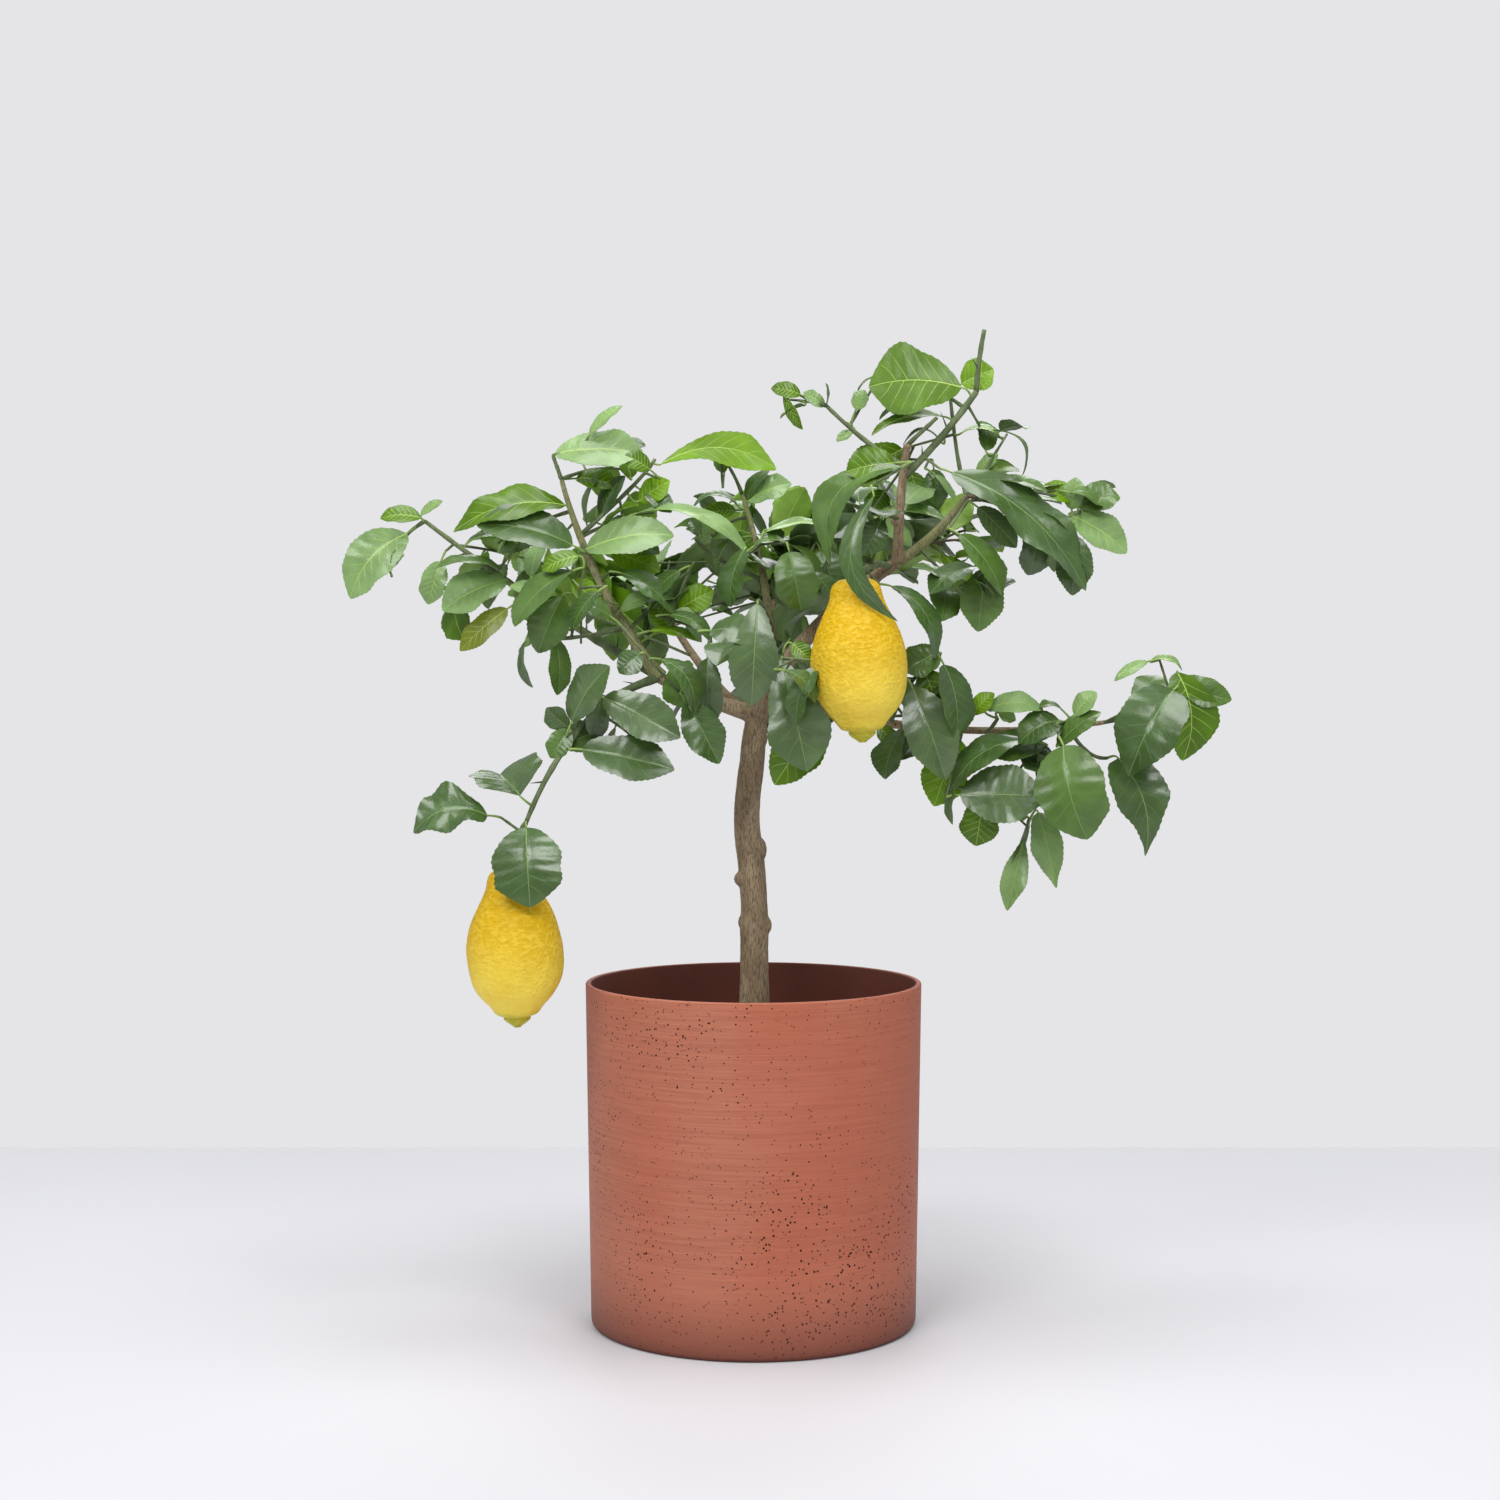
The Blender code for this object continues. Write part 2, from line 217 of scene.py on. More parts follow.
def endQuads(start, sides):
    # a flat end on a pipe of an even number of sides
    return np.array([(start, start + k, start + k + 1, start + k + 2) for k in range(1, sides - 2, 2)])


def closedQuads(rows, columns):
    # a pipe with both its ends
    last = endQuads((rows - 1) * columns, columns)
    return np.concatenate([gridQuads(rows, columns, wrap=True), endQuads(0, columns)[:, ::-1], last])


def pipe(path, radii, sides=6, wobble=0.0, seed=0):
    # a closed pipe along a path, with a radius for each point
    path = np.asarray([tuple(point) for point in path], float)
    radii = np.broadcast_to(np.asarray(radii, float), (len(path),))
    along = np.gradient(path, axis=0)
    along /= np.linalg.norm(along, axis=1)[:, None] + 1e-12
    aside = (0.31, 0.87, 0.38)  # a way that no path starts in
    across = np.cross(along[0], aside)
    dice = np.random.default_rng(seed)
    turn = np.arange(sides) / sides * math.tau
    rings = []
    for point, way, radius in zip(path, along, radii):
        across = across - way * across.dot(way)
        across /= np.linalg.norm(across)
        side = np.cross(way, across)
        reach = radius * (1 + wobble * dice.uniform(-1, 1, sides))
        rings.append(point + np.outer(np.cos(turn) * reach, across) + np.outer(np.sin(turn) * reach, side))
    return np.concatenate(rings), closedQuads(len(path), sides)


def bend(start, pull, end, steps):
    # points of a curve from start to end that leans towards pull
    start, pull, end = Vector(start), Vector(pull), Vector(end)
    shares = [i / (steps - 1) for i in range(steps)]
    return [start * (1 - s) ** 2 + pull * (2 * s * (1 - s)) + end * s**2 for s in shares]


# The skeleton follows the CAD limbs' own curves.

trunk = {
    "top": 0.4523,  # where it forks
    "foot": 0.0006,  # how far right of the middle it stands
    "bow": (0.0052, 0.347, 0.035),  # how far it bows to the left, at what height, over what height
    "lean": (0.0203, 0.390, 2.2),  # how far its top leans to the right, from what height, how sharply
    "radii": (0.0104, 0.0080),
    "flare": (0.0036, 0.011),  # how much wider it starts, and over what height that fades
    # height, way out (right, back), size in millimetres and how tall for its width
    "knobs": [
        (0.304, -1.0, -0.2, 6.6, 0.9),
        (0.324, 1.0, -0.3, 5.5, 1.6),
        (0.272, 1.0, -0.1, 4.4, 1.5),
        (0.274, -1.0, 0.3, 3.2, 1.6),
        (0.350, 0.3, -1.0, 3.4, 1.4),
        (0.400, 0.8, 0.6, 4.0, 1.5),
        (0.255, -0.3, 1.0, 3.6, 1.4),
    ],
}

# Each limb: its parent, how far up the parent it starts, its tip and how far it bows, in metres, and its
# radii at foot and tip, in millimetres
limbs = {
    "left_bough": ("trunk", 0.86, (-0.0656, -0.010, 0.4428), (0, 0, -0.0025), (6.0, 4.0)),
    "far_left_bough": ("left_bough", 0.88, (-0.2281, 0.030, 0.5503), (0, 0.004, -0.0045), (3.4, 1.4)),
    "upper_left_bough": ("left_bough", 0.97, (-0.1310, 0, 0.5770), (-0.0070, 0, -0.0030), (4.4, 1.8)),
    "low_left_bough": ("left_bough", 0.97, (-0.1488, -0.080, 0.3470), (-0.0060, -0.006, 0.0170), (3.0, 1.5)),
    "right_bough": ("trunk", 0.97, (0.0975, -0.020, 0.5195), (0, 0, 0.0070), (5.8, 4.0)),
    "centre_bough": ("trunk", 0.95, (-0.0079, 0.020, 0.5682), (0.0055, 0, 0), (4.2, 1.6)),
    "pruned_stub": ("right_bough", 1.0, (0.1028, -0.030, 0.5974), (-0.0015, 0, 0), (3.8, 2.6)),
    "upper_right_bough": ("right_bough", 0.97, (0.1439, -0.020, 0.5641), (0.0020, 0, -0.0025), (3.6, 2.7)),
    "top_bough": ("pruned_stub", 0.72, (0.1507, -0.012, 0.6350), (0.0010, 0, -0.0015), (2.5, 2.1)),
    "top_tip": ("top_bough", 1.0, (0.1560, -0.012, 0.6768), (-0.0008, 0, 0), (1.9, 1.5)),
    "top_left_bough": ("pruned_stub", 0.82, (0.0488, -0.020, 0.6252), (0, 0, -0.0030), (2.0, 1.2)),
    "low_right_bough": ("trunk", 0.91, (0.2376, -0.020, 0.4117), (0, -0.004, -0.0130), (4.0, 1.8)),
    "back_left_bough": ("trunk", 0.84, (-0.0700, 0.115, 0.5000), (0, 0.010, -0.0100), (4.2, 2.2)),
    "back_bough": ("trunk", 0.93, (0.0150, 0.130, 0.5200), (0, 0.010, -0.0100), (4.2, 2.2)),
    "back_right_bough": ("right_bough", 0.30, (0.1050, 0.110, 0.5300), (0, 0.010, -0.0060), (3.4, 2.0)),
}
youngLimbs = ["upper_left_bough", "centre_bough", "upper_right_bough"]
greenLimbs = ["top_bough", "top_tip", "top_left_bough", "far_left_bough", "low_left_bough"]
oldLimbs = [name for name in ["trunk", *limbs] if name not in greenLimbs + youngLimbs]

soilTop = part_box("soil")[1][2]


def trunkPoint(share):
    height = soilTop + (trunk["top"] - soilTop) * share
    bow, bowAt, bowSpread = trunk["bow"]
    lean, leanFrom, leanPower = trunk["lean"]
    rise = max(0.0, (height - leanFrom) / (trunk["top"] - leanFrom))
    bowed = bow * math.exp(-(((height - bowAt) / bowSpread) ** 2))
    return Vector((lean * rise**leanPower - bowed + trunk["foot"], 0, height))


def limbPoint(name, share):
    if name == "trunk":
        return trunkPoint(share)
    parent, start, tip, bow, _ = limbs[name]
    foot, tip = limbPoint(parent, start), Vector(tip)
    pull = (foot + tip) / 2 + 2 * Vector(bow)
    return foot * (1 - share) ** 2 + pull * (2 * share * (1 - share)) + tip * share**2


def limbPath(name, step):
    # points along a limb, about a step apart
    steps = max(10, int((limbPoint(name, 1) - limbPoint(name, 0)).length / step))
    return [limbPoint(name, i / steps) for i in range(steps + 1)]


def limbRadius(name, share):
    if name == "trunk":
        flare, height = trunk["flare"]
        foot, top = trunk["radii"]
        return foot + (top - foot) * share + flare * math.exp(-share * (trunk["top"] - soilTop) / height)
    foot, tip = limbs[name][-1]
    return (foot + (tip - foot) * share) * mm


def nearestOnLimbs(point, names):
    # the place on these limbs that is nearest to a point, leaving out their feet
    places = [limbPoint(name, i / 40) for name in names for i in range(8, 41)]
    return min(places, key=lambda place: (place - point).length)


# Bark: one skin over the trunk and the woody boughs, with its own relief

bark = {
    "voxel": 0.75 * mm,
    "smoothing": 8,
    "sides": 16,
    "step": 3 * mm,  # between the rings of a limb, before the skin is made
    "sampleStep": 1.5 * mm,  # between the places that the skin's cracks are measured from
    "collar": 0.45,  # how much a bough swells where it leaves its parent
    "collarLength": 7 * mm,
    "swell": 0.05,
    "fissureDepth": 0.30 * mm,
    "fullDepthAt": 9 * mm,  # the radius from which its cracks are at their deepest
    "fissuresPerMetre": 900,
    "stretch": 4.5,
    "streak": 0.8,
    # colour, its paler patches and its crevices
    "old": (shade(142, 122, 94), shade(172, 152, 122), shade(92, 75, 57)),
    "young": (shade(132, 134, 86), shade(158, 154, 112), shade(98, 96, 62)),
}


def barkPaint(name, colour, pale, crevice, streak):
    paint = Paint(name)
    fine = paint.cloud(1150, (1, 1, 0.20), detail=4, rough=0.7)
    broad = paint.cloud(70, (1, 1, 0.5), detail=2)
    worn = paint.mix(paint.between(broad, 0.38, 0.62), colour, pale)
    paint.set("Base_Color", paint.mix(paint.between(fine, 0.54, 0.40) * streak, worn, crevice))
    paint.set("Roughness", 0.72 + fine * 0.22)
    paint.bump(fine, 0.5 * mm, 0.55)
    return paint


def limbSamples(names):
    # (place, direction, radius, distance from the foot) at even steps along the limbs
    found = []
    for name in names:
        length = sum((limbPoint(name, (i + 1) / 20) - limbPoint(name, i / 20)).length for i in range(20))
        count = max(6, int(length / bark["sampleStep"]))
        for i in range(count + 1):
            share = i / count
            ahead = limbPoint(name, min(1.0, share + 0.02)) - limbPoint(name, max(0.0, share - 0.02))
            way = ahead.normalized()
            found.append((limbPoint(name, share), way, limbRadius(name, share), share * length))
    return found


def woodyPipe(name):
    path = limbPath(name, bark["step"])
    length = (path[-1] - path[0]).length
    radii = []
    for i in range(len(path)):
        share = i / (len(path) - 1)
        collar = 0 if name == "trunk" else bark["collar"] * math.exp(-share * length / bark["collarLength"])
        swell = 1 + bark["swell"] * noise.noise(Vector((share * length * 60, len(name), 0.5)))
        radii.append(limbRadius(name, share) * (1 + collar) * swell)
    if name == "trunk":
        path[0].z = soilTop - 2 * mm
    return pipe(path, radii, sides=bark["sides"])


def knob(place, radius, squash=0.8):
    # a small rounded lump
    rows, columns = 7, 12
    latitude = np.linspace(0.12, math.pi - 0.12, rows)[:, None]
    longitude = np.arange(columns) / columns * math.tau
    x = np.sin(latitude) * np.cos(longitude) * radius
    y = np.sin(latitude) * np.sin(longitude) * radius
    z = np.repeat(np.cos(latitude), columns, 1) * radius * squash
    points = np.stack([x, y, z], 2).reshape(-1, 3) + np.array(place)
    return points, closedQuads(rows, columns)[:, ::-1]


def woodyLumps():
    # knobs on the trunk, and the healed ends of the pruned stub
    for height, side, front, size, tall in trunk["knobs"]:
        share = (height - soilTop) / (trunk["top"] - soilTop)
        out = Vector((side, front, 0)).normalized() * (limbRadius("trunk", share) - 0.42 * size * mm)
        yield knob(limbPoint("trunk", share) + out, size * mm, tall)
    yield knob(limbPoint("pruned_stub", 1) - Vector((0, 0, 1.0 * mm)), 3.1 * mm)
    yield knob(limbPoint("pruned_stub", 0.35) + Vector((-3 * mm, -1 * mm, 0)), 3.0 * mm)


def roughen(mesh, samples):
    # cracks and ridges that run along the limbs, shallower where a limb is thin
    tree = kdtree.KDTree(len(samples))
    for i, sample in enumerate(samples):
        tree.insert(sample[0], i)
    tree.balance()
    per = bark["fissuresPerMetre"]
    moved = []
    for vertex in mesh.vertices:
        _, i, _ = tree.find(vertex.co)
        place, way, radius, travelled = samples[i]
        out = vertex.co - place
        out -= way * out.dot(way)
        spot = out * per + way * (travelled * per / bark["stretch"])
        ridge = 1 - abs(noise.noise(spot)) * 2.4
        coarse = noise.noise(spot * 0.25 + Vector((9, 4, 2)))
        depth = bark["fissureDepth"] * min(1.0, radius / bark["fullDepthAt"] + 0.15)
        push = depth * (0.6 * max(-0.6, ridge - 0.55) + 0.9 * coarse)
        moved.append(tuple(vertex.co + vertex.normal * push))
    mesh.vertices.foreach_set("co", np.array(moved, np.float32).ravel())


def makeBark(kind, woody, lumps=()):
    paint = barkPaint(f"{kind} bark", *bark[kind], bark["streak"])
    skin = joined(f"bark_{kind}", [woodyPipe(name) for name in woody] + list(lumps), paint)
    remesh = skin.modifiers.new("skin", "REMESH")
    remesh.mode = "VOXEL"
    remesh.voxel_size = bark["voxel"]
    skin.modifiers.new("smooth", "SMOOTH").iterations = bark["smoothing"]
    graph = bpy.context.evaluated_depsgraph_get()
    mesh = bpy.data.meshes.new_from_object(skin.evaluated_get(graph))
    skin.modifiers.clear()
    skin.data = mesh
    mesh.materials.clear()
    mesh.materials.append(paint.material)
    roughen(mesh, limbSamples(woody))
    mesh.polygons.foreach_set("use_smooth", np.full(len(mesh.polygons), True))
    mesh.update()
    settle(skin, woody)
    print("bark", kind, len(mesh.polygons))


# Leaves. Each has a top, an underside with the rim of its edge, a midrib and, close to, side veins.

leafForm = {
    "grid": (20, 9),  # rows and columns: odd columns, so that one runs down the middle
    "fineGrid": (32, 15),
    "fullest": 0.46,  # where along its length it is widest
    "roundness": 0.64,
    "narrowing": (0.72, 0.30),  # where its tip starts to narrow, and by how much
    "veins": 7,
    "thickness": 0.30 * mm,
    "quilt": 0.013,  # how far it swells between its side veins, as a share of its width
    "tooth": 0.34 * mm,
    "uneven": 0.06,  # how far its outline strays from an even oval
    "midrib": 0.95 * mm,
    "vein": 0.40 * mm,
}

# Tops: colour as it looks, roughness, how much light comes through, and the underside that goes with it
leafTints = {
    "deep": (shade(80, 104, 58), 0.27, 0.08, "dull"),
    "dark": (shade(70, 98, 44), 0.27, 0.10, "dull"),
    "mid": (shade(86, 118, 47), 0.28, 0.16, "dull"),
    "fresh": (shade(91, 128, 8), 0.31, 0.26, "light"),
    "lime": (shade(124, 166, 2), 0.36, 0.34, "light"),
    # pale is partly painted sheen: its greyer, whiter green stands in for the whitish gloss on these leaves
    "pale": (shade(142, 173, 112), 0.24, 0.26, "light"),
    "gold": (shade(142, 152, 44), 0.33, 0.28, "light"),
}
# Undersides: colour, the colours of their midribs and of their side veins, and how much light comes through
undersideTints = {
    "dull": (shade(108, 134, 76), shade(122, 150, 84), shade(94, 122, 66), 0.14),
    "light": (shade(148, 184, 78), shade(178, 204, 96), shade(158, 192, 84), 0.28),
}

leafTops = {tint: Heap() for tint in leafTints}
leafUndersides = {tint: Heap() for tint in undersideTints}
leafRibs = {tint: Heap() for tint in undersideTints}
leafVeins = {tint: Heap() for tint in undersideTints}
petioles = Heap()
greenStems = Heap()
brownStems = Heap()
thorns = Heap()


def leafPaint(name, colour, roughness, through):
    coat = max(0.0, 0.76 - 2.2 * through)
    paint = Paint(name, Coat_Weight=coat, Coat_Roughness=0.18, IOR=1.45)
    speck = paint.cloud(900, detail=2)
    pucker = paint.cloud(210, detail=2)
    patches = paint.between(paint.cloud(46, detail=2), 0.35, 0.65)
    paint.set("Base_Color", paint.mix(patches, tinted(colour, 0.84), tinted(colour, 1.14)))
    paint.set("Roughness", roughness - 0.05 + speck * 0.16)
    paint.bump(speck * 0.12 + pucker, 0.9 * mm, 0.36)
    surface = Wire(paint, paint.shader.outputs[0])
    glow = paint.node("ShaderNodeBsdfTranslucent", sockets={"Color": tinted(colour, 1.5)})
    both = paint.node("ShaderNodeMixShader", sockets={0: through, 1: surface, 2: glow})
    paint.feed(paint.tree.nodes["Material Output"].inputs["Surface"], both)
    return paint


def leafOutline(t, form):
    # half the leaf's width at each row, as a share of the widest
    power = math.log(0.5) / math.log(leafForm["fullest"] + form.get("slant", 0))
    narrowFrom, narrowBy = leafForm["narrowing"]
    outline = np.sin(math.pi * t**power) ** leafForm["roundness"]
    outline = outline * (1 - narrowBy * np.clip((t - narrowFrom) / (1 - narrowFrom), 0, 1)) + 0.010
    return outline * (1 - form.get("taper", 0) * np.clip((t - 0.4) / 0.5, 0, 1))


def leafSheet(foot, tip, face, width, form, rows, columns):
    # points of a leaf's top, rows by columns, with the way up at each row
    foot, tip = np.array(foot, float), np.array(tip, float)
    length = np.linalg.norm(tip - foot)
    way = (tip - foot) / length
    up = np.array(face, float)
    up -= way * up.dot(way)
    up /= np.linalg.norm(up)
    side = np.cross(up, way)
    t = np.linspace(0, 1, rows)[:, None]  # from foot to tip
    s = np.linspace(-1, 1, columns)[None, :]  # from edge to edge
    out = np.abs(s)
    right = s > 0
    curl, fold, phase = form["curl"], form["fold"], form["phase"]
    outline = leafOutline(t, form)
    stray = np.sin(math.tau * 1.3 * t + phase) + 0.6 * np.sin(math.tau * 2.9 * t + 2 * phase + right)
    y = s * width / 2 * outline * (1 + leafForm["uneven"] * stray * np.sin(math.pi * t) ** 0.5)
    tooth = leafForm["tooth"] * min(1.0, width / (30 * mm))
    zigzag = np.cos(math.pi * np.arange(rows))[:, None]
    y = y + np.sign(s) * tooth * zigzag * out**6 * (outline > 0.25)
    along = t + 0.07 * out * np.sin(math.pi * t)
    arch = curl * length * (along * (1 - along) - 0.05 * along**3)
    veins = np.cos(math.tau * leafForm["veins"] * t + 0.4) * out * (1.2 - out)
    ripple = np.sin(math.tau * form["pace"] * t + phase + right * 1.3)
    lift = fold * np.abs(y) - 0.9 * fold * y**2 / width
    lift = lift + leafForm["quilt"] * width * veins * outline
    lift = lift + form["wave"] * width * out**2 * ripple * outline
    upRow = up[None, :] - way[None, :] * curl * (1 - 2 * t)
    upRow /= np.linalg.norm(upRow, axis=1)[:, None]
    angle = form["twist"] * (t - 0.25)
    turnedSide = side * np.cos(angle) + upRow * np.sin(angle)
    turnedUp = upRow * np.cos(angle) - side * np.sin(angle)
    sway = form.get("rise", 0) * length * 4 * along * (1 - along)
    points = foot + way * (length * along)[:, :, None] + up * arch[:, :, None]
    points = points + side * sway[:, :, None]
    points = points + turnedSide[:, None, :] * y[:, :, None] + turnedUp[:, None, :] * lift[:, :, None]
    return points, turnedUp


def rimQuads(rows, columns):
    # where a sheet's edge runs, and the quads from it to the same edge of the sheet above
    edge = list(range(columns))
    edge += [row * columns + columns - 1 for row in range(1, rows)]
    edge += [(rows - 1) * columns + column for column in range(columns - 2, -1, -1)]
    edge += [row * columns for row in range(rows - 2, 0, -1)]
    here = np.array(edge)
    above = rows * columns + np.arange(len(edge))
    return here, np.stack([above, np.roll(above, -1), np.roll(here, -1), here], 1)


def ribbon(line, ups, widths, lift):
    # a thin raised strip along a line on the leaf
    across = np.cross(np.gradient(line, axis=0), ups)
    across /= np.linalg.norm(across, axis=1)[:, None] + 1e-12
    half = widths[:, None] / 2
    crown = line + ups * (lift + half * 0.5)
    low = ups * lift * 0.4
    strip = np.stack([line - across * half + low, crown, line + across * half + low], 1)
    return strip.reshape(-1, 3), gridQuads(len(line), 3)


def sideVeins(points, ups, heap):
    # each runs from the midrib towards the edge and the tip
    rows, columns = points.shape[:2]
    shares = np.linspace(0, 0.86, 6)
    widths = np.linspace(1, 0.4, 6) * leafForm["vein"]
    for k in range(leafForm["veins"] - 1):
        for side in (-1, 1):
            rowAt = (0.10 + 0.125 * k + 0.02 * side + 0.15 * shares) * (rows - 1)
            columnAt = (columns - 1) / 2 * (1 + side * shares)
            row, column = rowAt.astype(int), np.clip(columnAt.astype(int), 0, columns - 2)
            onward, outward = (rowAt - row)[:, None], (columnAt - column)[:, None]
            near = points[row, column] * (1 - outward) + points[row, column + 1] * outward
            far = points[row + 1, column] * (1 - outward) + points[row + 1, column + 1] * outward
            heap.add(*ribbon(near * (1 - onward) + far * onward, ups[row], widths, 0.05 * mm))


def leaf(tint, foot, tip, face, width, form, fine=False):
    rows, columns = leafForm["fineGrid" if fine else "grid"]
    points, ups = leafSheet(foot, tip, face, width, form, rows, columns)
    quads = gridQuads(rows, columns)
    flat = points.reshape(-1, 3)
    leafTops[tint].add(flat, quads[:, ::-1])
    under = leafTints[tint][3]
    below = (points - ups[:, None, :] * leafForm["thickness"]).reshape(-1, 3)
    edge, rim = rimQuads(rows, columns)
    leafUndersides[under].add(np.concatenate([below, flat[edge]]), np.concatenate([quads, rim]))
    spine = points[:, columns // 2]
    widths = np.linspace(1.0, 0.30, rows) * leafForm["midrib"] * min(1.0, width / (36 * mm))
    leafRibs[under].add(*ribbon(spine, ups, widths, 0.08 * mm))
    leafRibs[under].add(*ribbon(spine - ups * leafForm["thickness"], -ups, widths * 1.2, 0.08 * mm))
    if fine:
        sideVeins(points, ups, leafVeins[under])


# Wood that leaves can hang from: the limbs, and each twig once it has grown

woodPoints = []


def addWood(path):
    woodPoints.extend(tuple(point) for point in path)


def nearestWood(point):
    gaps = np.linalg.norm(np.array(woodPoints) - np.array(point), axis=1)
    return Vector(woodPoints[int(gaps.argmin())])


# Twigs: their radii at foot and tip
twigs = {
    "setByHand": (1.5 * mm, 1.2 * mm),
    "main": (1.4 * mm, 0.7 * mm),
    "fork": (1.0 * mm, 0.7 * mm),
    "side": (1.0 * mm, 0.8 * mm),
    "leftLemon": (1.7 * mm, 1.9 * mm),
    "rightLemon": (2.2 * mm, 2.2 * mm),
}
stalk = {
    "radius": 0.75 * mm,
    "longest": 13 * mm,  # past this a side twig comes first
    "fromTwig": 9 * mm,
}


def stem(heap, path, kind, seed=0):
    # a shoot with slightly swollen joints
    radii = np.linspace(*twigs[kind], len(path)) * (1 + 0.14 * (np.arange(len(path)) % 4 == 1))
    heap.add(*pipe(path, radii, sides=8, wobble=0.05, seed=seed))
    addWood(path)


def thorn(place, way, length):
    way = Vector(way).normalized()
    path = [Vector(place) + way * length * share for share in (-0.12, 0.1, 0.4, 0.75, 1.0)]
    thorns.add(*pipe(path, np.array([0.85, 0.7, 0.5, 0.28, 0.08]) * mm))


def petiole(foot, way, node=None):
    # the leaf's stalk: from the nearest twig to the foot of the leaf, by way of a side twig if that is far
    foot, way = Vector(foot), Vector(way).normalized()
    if node is None:
        node = nearestWood(foot)
    if (foot - node).length > stalk["longest"]:
        joint = foot - way * stalk["fromTwig"] - Vector((0, 0, 1.5 * mm))
        stem(greenStems, bend(node, (node + joint) / 2, joint, 8), "side")
        node = joint
    pull = foot - way * (foot - node).length * 0.5
    radii = np.linspace(1.3, 0.85, 6) * stalk["radius"]
    petioles.add(*pipe(bend(node, pull, foot + way * 0.8 * mm, 6), radii))


# Twigs, listed one by one, in millimetres from the middle of their mass. Each starts on the nearest limb.

shoots = {
    "bright_leaf": [((-62, -2, -41), (-55, -2, -17), (-47, -2, -3))],
    "left_crest": [((-31, -1, -13), (-33, -1, -7), (-35, -1, -1))],
    "left_mid": [((31, 12, -14), (1, 8, -17))],
    "fork_front": [((18, 60, 12), (13, 24, 27), (12, 5, 22))],
    "trunk_front": [((-4, 66, 30), (-9, 30, 52), (-9, 4, 46))],
    "centre_top": [((4, -6, -40), (-9, -6, -23), (-21, -6, -8))],
    "top": [((27, 20, -58), (21, 14, -5))],
    "right_heart": [((0, -58, 40), (20, -60, 58))],
    "right_low_inner": [((-20, 6, 16), (-11, 4, 32), (11, 6, 46))],
    "right_low": [((-35, 10, 17), (-28, 8, 28)), ((15, -10, 9), (9, -12, 25))],
    "far_right_drop": [((-44, 12, 36), (-32, 6, 34), (-19, 0, 36))],
}

# Ways that a leaf's top faces: right, back and up
facings = {
    "front": (0, -1, 0.42),
    "upFront": (0, -0.75, 0.75),
    "up": (0, -0.35, 1),
    "left": (-0.75, -0.65, 0.25),
    "right": (0.75, -0.65, 0.25),
    "upLeft": (-0.45, -0.5, 0.75),
    "upRight": (0.45, -0.5, 0.75),
    "leftEdge": (-0.75, -0.25, 0.6),
    "rightEdge": (0.8, -0.25, 0.55),
}
